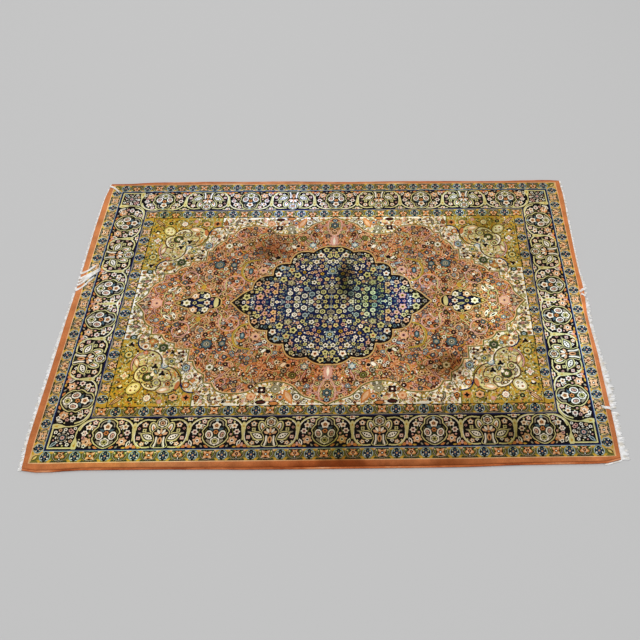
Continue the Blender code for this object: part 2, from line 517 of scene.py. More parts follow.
def drawGuards():
    edge = np.minimum(allRows, allColumns)
    step, sideStep = pattern["guard flowers along"], pattern["guard flowers across"]
    # the guard's name, where its flowers stand, and how many there are along and across
    for name, foot, along, across in (("outer guard", 14, 20, 14), ("inner guard", 148, 17, 10)):
        start, end = pattern[name]
        allowed[:] = (edge >= start) & (edge < end)
        for k in range(along):
            draw(guardFlower(k, orange), halfAlong - step * k + foot * 1j)
        for k in range(across):
            draw(guardFlower(k, peach), foot + (halfAcross - sideStep * k) * 1j, -1j)
    # a leaf in the corner
    start, end = pattern["outer guard"]
    allowed[:] = (edge >= start) & (edge < end)
    corner = (
        (leaf, 0 + 6j, 0 + 30j, 14, green),
        (leaf, 0 + 9j, 0 + 27j, 8, gold),
        (leaf, 0 + 12j, 0 + 24j, 4, lemon),
    )
    draw(corner, start + start * 1j, np.exp(-0.25j * math.pi))


archCell = (
    (stroke, (10 + 91.5j, 36 + 90.5j, 54 + 84j, 65 + 72j, 71 + 57j), 4.2, lemon),
    (stroke, (20 + 90.6j, 40 + 88j, 56 + 80.4j, 66 + 69j), 1.8, cream),
    (bloom, 34 + 80j, (7.6, pink, 5, 0.3), (4.2, cream), (2.2, dark)),
    (bloom, 48 + 66j, (9, cream, 5, 0.3, 20), (4.8, peach), (2.4, dark)),
    (bloom, 56 + 48j, (8.6, cream, 6, 0.25, 0), (5, pink), (2.6, dark)),
    (bloom, 46 + 21.5j, (13.4, peach, 6, 0.3, 15), (8, orange, 6, 0.2, 45), (5.4, cream), (3, dark)),
    (leaf, 60 + 6j, 68 + 25j, 9, cream),
    (leaf, 62 + 9j, 67 + 22j, 4, dark),
    (disc, 58 + 34j, 2.8, pink),
    (disc, 41 + 40j, 3, pink),
    (disc, 47 + 78j, 2.6, lemon),
    (leaf, 15 + 2j, 28 + 8j, 7, orange),
    (leaf, 31 + 2j, 37 + 9j, 5, stone),
    (stroke, (40 + 32j, 46 + 44j, 43 + 56j), 2.4, olive),
    (leaf, 24 + 50j, 42 + 72j, 14, cream),
    (leaf, 27 + 54j, 40 + 69j, 9, dark),
    (leaf, 30 + 57j, 38 + 67j, 4, peach),
    (shape, (0.5 + 1j, 9 + 3j, 20 + 10j, 29 + 18j, 35 + 30j, 33 + 40j, 37 + 50j, 33 + 60j, 26 + 69j,
     25 + 81j, 13 + 90j, 0.5 + 92j), lemon, 2.6, dark),
    (shape, (0.5 + 3.4j, 8.4 + 5.4j, 18.2 + 11.8j, 26.6 + 19.8j, 32.3 + 30.6j, 30.6 + 40j, 34 + 49.4j,
     30.3 + 58.2j, 23 + 67.8j, 22 + 79.2j, 11.8 + 87.6j, 0.5 + 89.6j), dark),
    (stroke, (27 + 30j, 26 + 40j, 28.6 + 49j, 25 + 56j), 2, olive),
    (stroke, (6 + 9j, 15 + 15j, 22 + 22j), 2, stone),
    (stroke, (0 + 85j, 9 + 83j, 16 + 77j, 18 + 67j), 3.2, stone),
    (leaf, 0 + 78j, 0 + 90j, 9, sky),
    (oval, 17 + 40j, 25, 19, 78, cream),
    (oval, 17.5 + 39.5j, 18, 12.6, 78, dark),
    (oval, 18 + 39.5j, 14, 8.6, 78, pink),
    (oval, 18.5 + 38.5j, 7, 4, 78, olive),
    (leaf, 5 + 52j, 20 + 60j, 7, teal),
    (leaf, 10 + 16j, 22 + 25j, 6, stone),
    (bloom, 0 + 20j, (13, cream, 6, 0.16), (9, dark), (8, lemon, 6, 0.2), (4.6, olive), (2.2, dark)),
    (bloom, 0 + 67j, (13.6, dark, 5, 0.2), (12, cream, 5, 0.26), (7.6, peach, 5, 0.2), (4.4, dark),
     (2.4, orange)),
    (bloom, 0 + 47.5j, (8.6, dark), (7, orange, 6, 0.25, 0), (2.6, dark)),
    (leaf, 6 + 30j, 1 + 41j, 5, green),
)
ringCell = (
    (stroke, (22 + 85j, 44 + 86.5j, 58 + 81j, 67 + 71j, 71 + 57j, 70 + 34j, 65.5 + 18j, 55 + 6.5j, 38 + 3j,
     20 + 5j), 4, lemon),
    (stroke, (57 + 79j, 65.6 + 70j, 69.3 + 57j, 68.3 + 34j, 64 + 19j, 54 + 8.5j), 1.8, cream),
    (bloom, 46 + 71j, (8.6, peach, 5, 0.3), (5, cream), (2.8, dark)),
    (bloom, 60 + 60j, (4.4, pink, 4, 0.3), (1.8, dark)),
    (bloom, 45 + 54j, (6, lemon, 4, 0.3, 45), (2.4, dark)),
    (leaf, 51 + 45j, 62 + 47j, 5, stone),
    (bloom, 58 + 31j, (6.6, pink, 4, 0.3, 45), (3, cream), (1.6, dark)),
    (bloom, 46 + 13.6j, (7, peach, 5, 0.3, 0), (3.4, cream), (1.8, dark)),
    (disc, 59 + 17j, 2.8, lemon),
    (bloom, 33 + 17j, (5, cream, 4, 0.3), (2, dark)),
    (leaf, 47 + 25j, 37 + 22j, 5, olive),
    (leaf, 15 + 25j, 55 + 45j, 27, lemon),
    (leaf, 18 + 27j, 51 + 43j, 20, dark),
    (leaf, 21 + 28.6j, 47 + 41j, 13.6, cream),
    (disc, 28 + 32j, 2.4, dark),
    (disc, 34 + 34.8j, 2.4, dark),
    (disc, 40 + 37.4j, 2.2, dark),
    (oval, 23 + 62j, 36, 22, 76, lemon),
    (oval, 22.6 + 62j, 29.6, 15.6, 76, dark),
    (oval, 22 + 62j, 24, 11, 76, cream),
    (oval, 22 + 61j, 14, 5, 76, orange),
    (shape, (0.5 + 1j, 16 + 2j, 22 + 8j, 17 + 22j, 19 + 34j, 24 + 44j, 22 + 52j, 12 + 62j, 0.5 + 64j),
     lemon, 2.4, dark),
    (shape, (0.5 + 3j, 14.4 + 3.8j, 19.8 + 8.6j, 15 + 22j, 16.8 + 33.4j, 21.8 + 43.4j, 19.8 + 51.4j,
     10.8 + 60.4j, 0.5 + 62.4j), dark),
    (stroke, (13.4 + 6j, 10 + 20j, 10 + 33j), 4, cream),
    (stroke, (9 + 7j, 6 + 20j, 6 + 31j), 1.8, stone),
    (leaf, 0 + 7j, 0 + 35j, 12, peach, 0.6),
    (leaf, 0 + 8j, 0 + 33j, 8, orange, 0.6),
    (leaf, 0 + 13j, 0 + 29j, 4.4, dark, 0.6),
    (bloom, 0 + 8j, (5, dark), (3.6, green)),
    (leaf, 2 + 39j, 18 + 48j, 7, peach, 0.62),
    (leaf, 1 + 40j, 11 + 57j, 6.6, cream, 0.62),
    (leaf, 0 + 40j, 0 + 60j, 6, peach, 0.62),
    (bloom, 0 + 40j, (5, dark), (3.4, orange)),
    (bloom, 0 + 76j, (16.8, lemon), (14.6, dark), (12.8, cream, 6, 0.2), (9.4, stone), (7.6, dark),
     (6.4, peach, 6, 0.25), (3, maroon)),
)
stem = (
    (leaf, 0 + 78j, 0 + 24j, 12, lemon, 0.28),
    (leaf, 0 + 70j, 0 + 38j, 4.6, gold, 0.35),
    (stroke, (0 + 60j, 0 + 45j, 0 + 24j), 4, lemon),
    (bloom, -2 + 89j, (6.6, cream, 5, 0.3), (3.6, orange), (2, dark)),
    (leaf, 8 + 90j, 18 + 91j, 4, lemon),
    (leaf, 2 + 8j, 14 + 2j, 9, orange),
    (leaf, 14 + 3j, 26 + 2j, 5, gold),
    (leaf, 1 + 16j, 1 + 3j, 5, pink),
)
cornerCell = (
    (stroke, (54 + 54j, 54 + 86j, 54 + 122j), 4, lemon),
    (bloom, 59 + 146j, (6, cream, 5, 0.3), (2.6, dark)),
    (bloom, 71 + 149j, (6, peach, 5, 0.3), (2.6, dark)),
    (leaf, 57 + 134j, 72 + 137j, 5, stone),
    (bloom, 84 + 140j, (5.4, pink, 5, 0.3), (2.2, dark)),
    (leaf, 60 + 158j, 68 + 166j, 5, orange),
    (bloom, 98 + 137j, (4.6, cream, 5, 0.3), (1.8, dark)),
    (disc, 79 + 130j, 2, lemon),
    (leaf, 121 + 46j, 119 + 88j, 15, lemon, 0.35),
    (leaf, 121 + 54j, 119 + 76j, 6, gold),
    (stroke, (119 + 66j, 119 + 100j, 124 + 117j, 133 + 129j, 148 + 139j, 163 + 141j, 174 + 137j), 3.4,
     lemon),
    (leaf, 58 + 58j, 75 + 75j, 9, sky),
    (leaf, 61 + 61j, 72 + 72j, 4, dark),
    (bloom, 85 + 85j, (19, cream, 8, 0.16), (16.4, dark), (15, stone, 8, 0.24), (10.6, dark),
     (9, teal, 8, 0.3), (5, pink), (2.4, dark)),
    (bloom, 64 + 102j, (5.4, cream, 5, 0.3), (2.4, dark)),
    (bloom, 75 + 108j, (5, peach, 5, 0.3), (2.2, dark)),
    (bloom, 88 + 110j, (5.4, cream, 5, 0.3), (2.4, dark)),
    (bloom, 102 + 107j, (6, pink, 5, 0.3), (2.6, dark)),
    (bloom, 113 + 113j, (4.4, cream, 5, 0.3), (1.8, dark)),
    (disc, 61 + 90j, 2.4, lemon),
    (disc, 63 + 78j, 2.2, pink),
)


def drawBorder():
    start, end = pattern["border"]
    cell = pattern["border cells"]
    allowed[:] = False
    allowed[start:end, start:] = True
    allowed[start:, start:end] = True
    # the short side, whose two kinds of cell take turns towards the corner
    for y, motif in ((340, ringCell), (480, archCell), (200, archCell)):
        draw(motif, start + y * 1j, -1j)
    bud = ((bloom, -2 + 88j, (6.6, cream, 5, 0.3), (3.6, orange), (1.8, maroon)),)
    draw(bud, start + halfAcross * 1j, -1j)
    # the long side
    for k in (1, 3):
        draw(ringCell, halfAlong - cell * k + start * 1j)
    for k in (0, 2, 4):
        draw(archCell, halfAlong - cell * k + start * 1j)
    for k in range(4):
        draw(stem, halfAlong - cell * (k + 0.5) + start * 1j)
    for y in (270, 410, halfAcross):
        draw(stem, start + y * 1j, -1j)
    draw(cornerCell, 0, 1, (False,))
    draw(cornerCell, 0, -1j, (True,))


# outlines of the grounds: corners, and how far the way to each bulges outwards
rustOutline = (
    (184 + 540j, 0), (217 + 501j, -0.04), (253 + 449j, 0.16), (254 + 423j, 0), (286 + 421j, 0),
    (328 + 391j, 0.17), (330 + 371j, 0), (375 + 369j, 0), (375 + 327j, 0), (391 + 326j, 0),
    (429 + 281j, 0.13), (431 + 253j, 0), (454 + 252j, 0), (500 + 218j, 0.16), (551 + 220j, 0.04),
    (584 + 248j, 0.1), (636 + 255j, -0.04), (690 + 232j, -0.1), (717 + 205j, 0.05), (775 + 180j, -0.03),
)
navyOutline = (
    (473 + 540j, 0), (492 + 521j, 0), (534 + 488j, 0.07), (593 + 432j, 0.25), (644 + 383j, 0.31),
    (715 + 335j, 0.29), (780 + 311j, 0.13),
)
pendantOutline = (
    (303 + 540j, 0), (348 + 518j, 0.05), (368 + 497j, 0.16), (390 + 494j, 0.12), (412 + 516j, 0.2),
    (437 + 521j, 0.1), (446 + 540j, 0.15),
)
spandrelOutline = (
    (179 + 405j, 0), (223 + 407j, 0), (250 + 366j, 0.22), (303 + 320j, -0.26), (320 + 310j, 0),
    (368 + 254j, -0.24), (407 + 221j, 0.24), (407 + 176j, 0),
)
# the light ground inside the corner's scrolls
scrollOutline = (
    229 + 350j, 250 + 362j, 269 + 364j, 287 + 355j, 299 + 343j, 305 + 328j, 305 + 316j, 323 + 311j,
    341 + 301j, 355 + 287j, 364 + 270j, 367 + 254j, 363 + 240j, 351 + 230j, 335 + 222j, 315 + 220j,
    303 + 226j, 291 + 230j, 265 + 246j, 250 + 258j, 233 + 274j, 232 + 294j, 223 + 302j, 218 + 316j,
    219 + 336j,
)

spandrelMotifs = (
    # the two arcs beside the cream field and the lines of the scrolls
    (stroke, (223 + 409j, 224 + 390j, 232 + 377j, 243 + 369j, 252 + 366j), 4.6, navy),
    (stroke, (368 + 254j, 374 + 239j, 386 + 227j, 400 + 222j, 414 + 223j), 4.6, navy),
    (stroke, (250 + 364j, 269 + 365j, 287 + 356j, 299 + 344j, 305 + 329j, 304 + 316j), 3, maroon),
    (stroke, (322 + 312j, 341 + 302j, 355 + 288j, 365 + 270j, 368 + 254j), 3.6, maroon),
    (stroke, (368 + 254j, 366 + 242j, 357 + 232j, 343 + 223j, 327 + 220j, 315 + 220j, 305 + 225j), 3.6,
     maroon),
    (stroke, (299 + 301j, 311 + 302j, 323 + 298j, 333 + 290j, 339 + 276j, 338 + 265j, 329 + 264j,
     321 + 256j), 2.6, maroon),
    (stroke, (251 + 358j, 236 + 354j, 226 + 344j, 220 + 330j, 219 + 314j, 224 + 299j), 7, maroon),
    (stroke, (251 + 358j, 236 + 354j, 226 + 344j, 220 + 330j, 219 + 314j, 224 + 299j), 3.6, pink),
    (oval, 359 + 246j, 11, 27, -14, rust),
    (oval, 360 + 246j, 5, 18, -14, rust),
    (leaf, 306 + 228j, 340 + 236j, 17, peach),
    (leaf, 312 + 230j, 334 + 235j, 8, cream),
    (leaf, 226 + 342j, 238 + 306j, 17, maroon),
    (leaf, 227 + 339j, 237 + 309j, 14, peach),
    (leaf, 229 + 333j, 236 + 313j, 7, cream),
    (disc, 241 + 352j, 5, stone),
    (petals, 252 + 359j, 8, 5, 0.25, rust),
    (disc, 252 + 359j, 3, pink),
    # the curled leaf on the left
    (disc, 256 + 301j, 13, maroon),
    (disc, 256 + 301j, 10.8, lemon),
    (bloom, 256 + 301j, (7.6, green, 6, 0.2), (3, peach)),
    (stroke, (262 + 313j, 252 + 314j, 242 + 308j, 235 + 297j, 232 + 284j, 234 + 272j, 241 + 264j,
     251 + 261j), 3.2, maroon),
    (stroke, (246 + 305j, 240 + 296j, 237 + 284j, 239 + 273j, 246 + 267j), 4, cream),
    (bloom, 246 + 286j, (7, maroon, 5, 0.2), (4, cream, 5, 0.3), (1.6, maroon)),
    (bloom, 249 + 272j, (4, dark), (1.8, peach)),
    # the curled leaf below
    (disc, 300 + 256j, 13, maroon),
    (disc, 300 + 256j, 10.8, lemon),
    (bloom, 300 + 256j, (7, dark, 6, 0.2), (4.6, cream, 6, 0.3), (1.8, dark)),
    (stroke, (252 + 261j, 258 + 251j, 266 + 242j, 277 + 233j, 290 + 229j, 302 + 233j, 311 + 243j,
     313 + 254j, 307 + 264j), 3.2, maroon),
    (stroke, (262 + 251j, 271 + 241j, 283 + 236j, 294 + 236j, 303 + 242j), 4, cream),
    (bloom, 279 + 246j, (6, maroon, 5, 0.2), (3, cream)),
    (bloom, 289 + 243j, (4.4, dark), (2, peach)),
    (disc, 269 + 250j, 2.6, dark),
    # the palmette at the corner and its stem
    (oval, 239 + 238j, 48, 38, 45, maroon),
    (oval, 239 + 238j, 43, 33, 45, lemon),
    (oval, 239 + 238j, 34, 24, 45, cream),
    (bloom, 233 + 232j, (4, orange, 5, 0.3), (1.8, maroon)),
    (bloom, 245 + 244j, (5, olive, 5, 0.3), (2.4, peach)),
    (disc, 245 + 232j, 2.4, maroon),
    (disc, 233 + 244j, 2.4, maroon),
    (leaf, 183 + 183j, 226 + 223j, 14, maroon),
    (leaf, 187 + 187j, 223 + 220j, 9, peach),
    (stroke, (191 + 191j, 218 + 216j), 2, green),
    # flowers within the scrolls
    (bloom, 273 + 275j, (16.4, maroon), (15, green, 7, 0.14), (10, olive, 7, 0.2), (6, cream, 5, 0.3),
     (2.4, pink)),
    (disc, 284 + 283j, 5, cream),
    (bloom, 314 + 314j, (11.4, navy), (9.6, sky), (6, cream, 5, 0.3), (2, navy)),
    (petals, 287 + 310j, 10, 3, 0.5, dark),
    (petals, 311 + 286j, 10.4, 3, 0.5, dark),
    (leaf, 287 + 301j, 296 + 283j, 9, green),
    (leaf, 289 + 298j, 295 + 286j, 4, sky),
    (disc, 325 + 286j, 3.4, maroon),
    (stroke, (261 + 336j, 262 + 328j, 260 + 321j), 3, maroon),
    (disc, 273 + 352j, 4, maroon),
    (bloom, 282 + 334j, (7, olive, 5, 0.3), (4, peach)),
    (bloom, 333 + 252j, (9, maroon, 5, 0.2), (7, orange, 5, 0.2), (3, dark)),
    (leaf, 345 + 290j, 353 + 272j, 7, orange),
    # flowers round the outside
    (petals, 205 + 388j, 8.6, 3, 0.45, dark),
    (disc, 190 + 381j, 3.4, dark),
    (disc, 190 + 371j, 2.8, green),
    (disc, 228 + 364j, 4, dark),
    (bloom, 204 + 352j, (13, green), (10.6, lemon, 8, 0.1), (7, gold, 5, 0.2), (3.4, dark)),
    (bloom, 206 + 280j, (14.6, dark, 4, 0.45, 0), (12, cream, 4, 0.45, 0), (6.6, pink, 4, 0.4, 0)),
    (disc, 189 + 306j, 3.6, green),
    (bloom, 189 + 259j, (4.6, dark), (1.8, cream)),
    (leaf, 191 + 242j, 212 + 242j, 11, dark),
    (disc, 201 + 246j, 4, cream),
    (bloom, 237 + 202j, (7.6, dark), (5, green), (2, lemon)),
    (bloom, 283 + 206j, (13.4, maroon, 8, 0.14), (10.8, cream, 8, 0.2), (5.6, pink, 5, 0.2), (2.4, cream)),
    (bloom, 319 + 194j, (8.4, rust, 5, 0.3), (6, pink)),
    (bloom, 355 + 207j, (15, green, 8, 0.14), (12.4, peach, 6, 0.2), (7, orange, 6, 0.2), (3.4, dark)),
    (bloom, 391 + 206j, (13, orange, 5, 0.2), (7.6, dark, 4, 0.4)),
    (disc, 213 + 210j, 3.4, dark),
    (disc, 254 + 193j, 3, maroon),
    (leaf, 298 + 207j, 310 + 197j, 4, green),
    (leaf, 213 + 333j, 205 + 322j, 5, green),
    (disc, 339 + 192j, 3, dark),
)
creamMotifs = (
    (bloom, 201 + 467j, (10, green, 5, 0.3), (6, olive), (3, peach)),
    (bloom, 189 + 507j, (4, maroon)),
    (bloom, 190 + 484j, (5, maroon, 3, 0.3)),
    (bloom, 205 + 484j, (6.4, maroon, 4, 0.3), (3, pink)),
    (leaf, 193 + 451j, 218 + 453j, 8, maroon),
    (leaf, 197 + 451j, 214 + 453j, 3.6, pink),
    (bloom, 206 + 413j, (11, dark, 7, 0.1), (8.6, green), (5, sky), (2, dark)),
    (bloom, 191 + 429j, (4, olive)),
    (bloom, 221 + 434j, (4.6, olive, 3, 0.3)),
    (bloom, 238 + 426j, (4.6, olive, 3, 0.3)),
    (bloom, 231 + 415j, (5, pink, 4, 0.3)),
    (bloom, 251 + 407j, (4, maroon)),
    (bloom, 264 + 398j, (11.6, olive, 6, 0.2), (10, orange, 6, 0.2), (4, lemon)),
    (bloom, 282 + 412j, (5, maroon, 3, 0.3)),
    (bloom, 247 + 380j, (12, stone), (9.6, cream), (6, orange), (2.6, dark)),
    (bloom, 276 + 382j, (7, green, 5, 0.2), (4, sky)),
    (bloom, 299 + 375j, (17, olive, 7, 0.18), (14.6, green, 7, 0.2), (7, stone, 5, 0.2), (3, dark)),
    (bloom, 313 + 359j, (4, navy)),
    (bloom, 329 + 358j, (6.4, dark, 3, 0.4)),
    (bloom, 348 + 356j, (4.4, dark)),
    (bloom, 359 + 360j, (5.6, maroon, 3, 0.3)),
    (bloom, 360 + 347j, (5, maroon, 3, 0.3)),
    (bloom, 308 + 345j, (6.4, orange, 5, 0.3), (3, peach)),
    (bloom, 328 + 348j, (4, gold)),
    (bloom, 331 + 328j, (12.6, olive, 6, 0.2), (10, lemon, 6, 0.2), (6, green), (2.6, sky)),
    (bloom, 359 + 326j, (6.4, dark, 3, 0.4)),
    (bloom, 362 + 313j, (3, dark)),
    (bloom, 344 + 308j, (5, peach, 4, 0.3)),
    (bloom, 376 + 305j, (13, navy, 6, 0.14), (10.6, sky, 6, 0.2), (5, green), (2, lemon)),
    (bloom, 368 + 289j, (7, teal, 5, 0.3), (4, cream)),
    (bloom, 388 + 275j, (9, stone), (6.8, cream), (3.6, pink)),
    (bloom, 402 + 261j, (8, rust, 4, 0.4, 0), (6, orange, 4, 0.4, 0)),
    (bloom, 405 + 278j, (4, maroon)),
    (leaf, 418 + 276j, 420 + 262j, 6, maroon),
    (bloom, 384 + 247j, (11.6, dark, 7, 0.14), (9.6, orange, 7, 0.16), (4, cream), (2, maroon)),
    (bloom, 409 + 239j, (6, stone, 4, 0.3), (3, cream)),
    (bloom, 437 + 242j, (5, olive, 3, 0.3)),
    (bloom, 427 + 225j, (4, maroon)),
    (bloom, 452 + 232j, (5, gold, 5, 0.3)),
    (bloom, 419 + 206j, (10, maroon, 5, 0.2), (7, orange, 5, 0.2), (3, dark)),
    (oval, 454 + 205j, 8, 24, 0, dark),
    (oval, 454 + 205j, 4, 18, 0, stone),
    (bloom, 433 + 193j, (5, pink, 5, 0.3)),
    (bloom, 437 + 211j, (3.6, olive)),
    (bloom, 472 + 201j, (5, maroon, 3, 0.3)),
    (bloom, 491 + 208j, (5, olive, 4, 0.3)),
    (bloom, 511 + 204j, (9, olive, 5, 0.2), (7, gold, 5, 0.2), (3, cream)),
    (bloom, 535 + 205j, (4.4, maroon)),
    (bloom, 494 + 191j, (5, dark, 3, 0.3)),
    (bloom, 570 + 207j, (12.6, rust), (10.8, peach, 6, 0.14), (4, rust)),
    (bloom, 549 + 193j, (5, pink, 4, 0.3)),
    (bloom, 527 + 189j, (4, olive)),
    (bloom, 598 + 228j, (14, dark, 4, 0.3, 45), (7, maroon), (3, cream)),
    (oval, 598 + 189j, 30, 14, 0, dark),
    (oval, 598 + 189j, 22, 8, 0, maroon),
    (bloom, 636 + 231j, (15, olive, 8, 0.1), (13, stone, 8, 0.14), (6, olive), (3, cream)),
    (bloom, 616 + 199j, (9, peach, 4, 0.3, 45), (4, lemon)),
    (bloom, 628 + 206j, (3.6, navy)),
    (oval, 634 + 185j, 28, 14, 0, dark),
    (oval, 634 + 185j, 24, 10, 0, orange),
    (bloom, 651 + 205j, (13, dark, 6, 0.18), (11, orange, 6, 0.2), (6.4, sky, 5, 0.3), (3, navy)),
    (leaf, 660 + 229j, 686 + 180j, 22, orange),
    (leaf, 664 + 222j, 682 + 190j, 12, peach),
    (leaf, 651 + 227j, 660 + 241j, 8, lemon),
    (disc, 675 + 224j, 4, gold),
    (bloom, 696 + 205j, (12, dark), (9.6, cream), (5.4, green), (2.4, peach)),
    (disc, 680 + 232j, 3, maroon),
    (oval, 719 + 190j, 22, 13, 25, dark),
    (oval, 719 + 190j, 17, 8.6, 25, cream),
    (oval, 719 + 190j, 10, 4, 25, olive),
    (bloom, 702 + 185j, (5, maroon, 3, 0.3)),
    (bloom, 740 + 180j, (5, pink, 4, 0.3)),
)
pinkScroll = (
    451 + 486j, 446 + 466j, 455 + 444j, 476 + 434j, 498 + 441j, 507 + 461j, 499 + 481j, 482 + 486j,
    470 + 474j, 477 + 463j,
)
oliveScroll = (
    600 + 300j, 585 + 316j, 562 + 318j, 546 + 304j, 546 + 282j, 561 + 268j, 580 + 272j, 584 + 288j,
    573 + 296j,
)
peachScroll = (
    330 + 470j, 352 + 462j, 362 + 442j, 354 + 422j, 334 + 414j, 316 + 424j, 314 + 442j, 328 + 449j,
)
bowedStem = (552 + 464j, 517 + 452j, 497 + 428j, 497 + 399j, 513 + 375j, 548 + 367j)
rustMotifs = (
    (stroke, pinkScroll, 3.8, pink),
    (stroke, oliveScroll, 3.6, orange),
    (stroke, peachScroll, 6, maroon),
    (stroke, peachScroll, 3.8, pink),
    (leaf, 276 + 494j, 303 + 477j, 11, cream),
    (leaf, 283 + 490j, 298 + 480j, 5, dark),
    (leaf, 306 + 503j, 314 + 478j, 10, cream),
    (leaf, 309 + 495j, 313 + 484j, 5, dark),
    (leaf, 385 + 488j, 385 + 466j, 15, gold),
    (bloom, 484 + 456j, (9, maroon, 6, 0.2), (7.4, cream, 6, 0.3), (4, teal)),
    (bloom, 336 + 434j, (7, maroon, 5, 0.2), (5.4, cream, 5, 0.3)),
    (bloom, 566 + 292j, (8, maroon, 6, 0.2), (6, stone, 6, 0.3), (2.4, cream)),
    (bloom, 250 + 540j, (21, rust, 9, 0.16), (19, pink, 9, 0.18), (12, peach, 9, 0.25), (7, pink),
     (3, maroon)),
    (leaf, 189 + 540j, 231 + 540j, 10, green),
    (leaf, 195 + 540j, 227 + 540j, 6, peach),
    (leaf, 272 + 540j, 300 + 540j, 8, pink),
    (bloom, 221 + 525j, (8, dark, 6, 0.2), (6, stone, 6, 0.2)),
    (bloom, 234 + 507j, (8, dark, 6, 0.2), (6, peach, 6, 0.2)),
    (bloom, 422 + 387j, (19, dark, 8, 0.16), (16.6, teal, 8, 0.2), (10, stone, 8, 0.2), (5, green),
     (2, cream)),
    (bloom, 467 + 388j, (13, dark, 6, 0.2), (10, teal, 6, 0.2), (5, stone)),
    (bloom, 442 + 306j, (13, olive, 6, 0.2), (11, cream, 6, 0.2), (5, olive), (2, maroon)),
    (stroke, bowedStem, 7, olive),
    (stroke, bowedStem, 4, gold),
    (stroke, (507 + 440j, 499 + 415j, 509 + 383j), 1.8, lemon),
    (oval, 523 + 415j, 17, 26, 0, dark),
    (oval, 523 + 415j, 13, 22, 0, teal),
    (oval, 523 + 417j, 6, 12, 0, sky),
    (oval, 535 + 389j, 18, 9, 12, peach),
    (oval, 535 + 389j, 12, 4, 12, maroon),
    (bloom, 562 + 412j, (18, maroon, 7, 0.24), (16, peach, 7, 0.24), (9, pink, 7, 0.2), (4, maroon)),
    (oval, 572 + 384j, 24, 7, 14, sky),
    (disc, 604 + 358j, 7, dark),
    (oval, 590 + 361j, 20, 11, 40, dark),
    (oval, 590 + 361j, 17, 8, 40, cream),
    (bloom, 712 + 305j, (14, dark, 6, 0.22), (12.4, sky, 6, 0.4), (5, cream), (2, teal)),
    (disc, 665 + 309j, 8, peach),
    (disc, 665 + 309j, 6, dark),
    (oval, 651 + 312j, 21, 14, 40, maroon),
    (oval, 651 + 312j, 18, 11, 40, cream),
    (bloom, 680 + 275j, (11.6, maroon), (9.4, olive), (5, dark), (2, lemon)),
    (bloom, 654 + 291j, (9.4, dark), (7, stone), (3, dark)),
    (stroke, (777 + 308j, 770 + 286j, 777 + 265j), 6, pink),
    (leaf, 780 + 311j, 780 + 262j, 16, pink),
    (leaf, 780 + 304j, 780 + 270j, 8, cream),
    (stroke, (775 + 265j, 762 + 242j, 757 + 215j, 763 + 185j), 4, pink),
    (stroke, (780 + 306j, 763 + 296j, 752 + 300j), 3, pink),
    (bloom, 780 + 217j, (15, dark, 6, 0.2), (12.6, teal, 6, 0.24), (7, dark), (4.6, stone), (2, cream)),
    (bloom, 780 + 195j, (9, dark, 6, 0.2), (7, sky, 6, 0.3), (3, navy)),
    (bloom, 780 + 241j, (9, maroon, 6, 0.2), (7, peach), (3, dark)),
)


def drawCream(inCream):
    allowed[:] = inCream
    places, chance = sown(inCream, 11.5, 0.3, seed=5, room=2)
    for place in places:
        turn = np.exp(1j * chance.uniform(0, 6.3))
        dye = pick(chance, olive, peach, gold, pink, lemon, peach, stone, lemon)
        leaf(plain, place - 5 * turn, place + 6 * turn, 4.8, dye)
        disc(plain, place + 6 * turn, 2, pick(chance, maroon, olive, rust, green))
    outlined(inCream, cream, gold)
    places, chance = sown(inCream, 20, 0.25, seed=15, room=4)
    for place in places:
        rim = pick(chance, olive, maroon, dark, green)
        petal = pick(chance, peach, cream, stone, orange, lemon)
        bloom(plain, place, (6.8, rim, 5, 0.2), (5, petal, 5, 0.3), (2, dark))
    draw(creamMotifs, 0, 1, (False,))


def drawGold(inGold, goldEdge):
    allowed[:] = inGold
    inScrolls = within([complex(place) for place in scrollOutline]) & inGold
    chart[inScrolls] = lemon
    places, chance = sown(inGold, 11.5, 0.3, seed=6, room=2)
    for place in places:
        turn = np.exp(1j * chance.uniform(0, 6.3))
        if inScrolls[int(place.imag), int(place.real)]:
            vine = pick(chance, gold, olive, gold, cream, peach)
        else:
            vine = pick(chance, olive, lemon, lemon, orange, lemon)
        stroke(plain, (place - 6 * turn, place + 3j * turn, place + 6 * turn), 2.6, vine)
        disc(plain, place + 4 * turn, 2.4, pick(chance, green, peach, maroon, cream, olive))
    outlined(inGold & ~inScrolls, gold, olive)
    outlined(inScrolls, lemon, stone)
    allowed[:] = inGold | grownFrom(inGold, 4)
    fieldLine(goldEdge, ((3.4, olive),))
    draw(spandrelMotifs, 0, 1, (False,))


curl = (-16 - 4j, 0, 16, 25 + 12j, 18 + 27j, 3 + 26j, -3 + 15j, 7 + 10j)


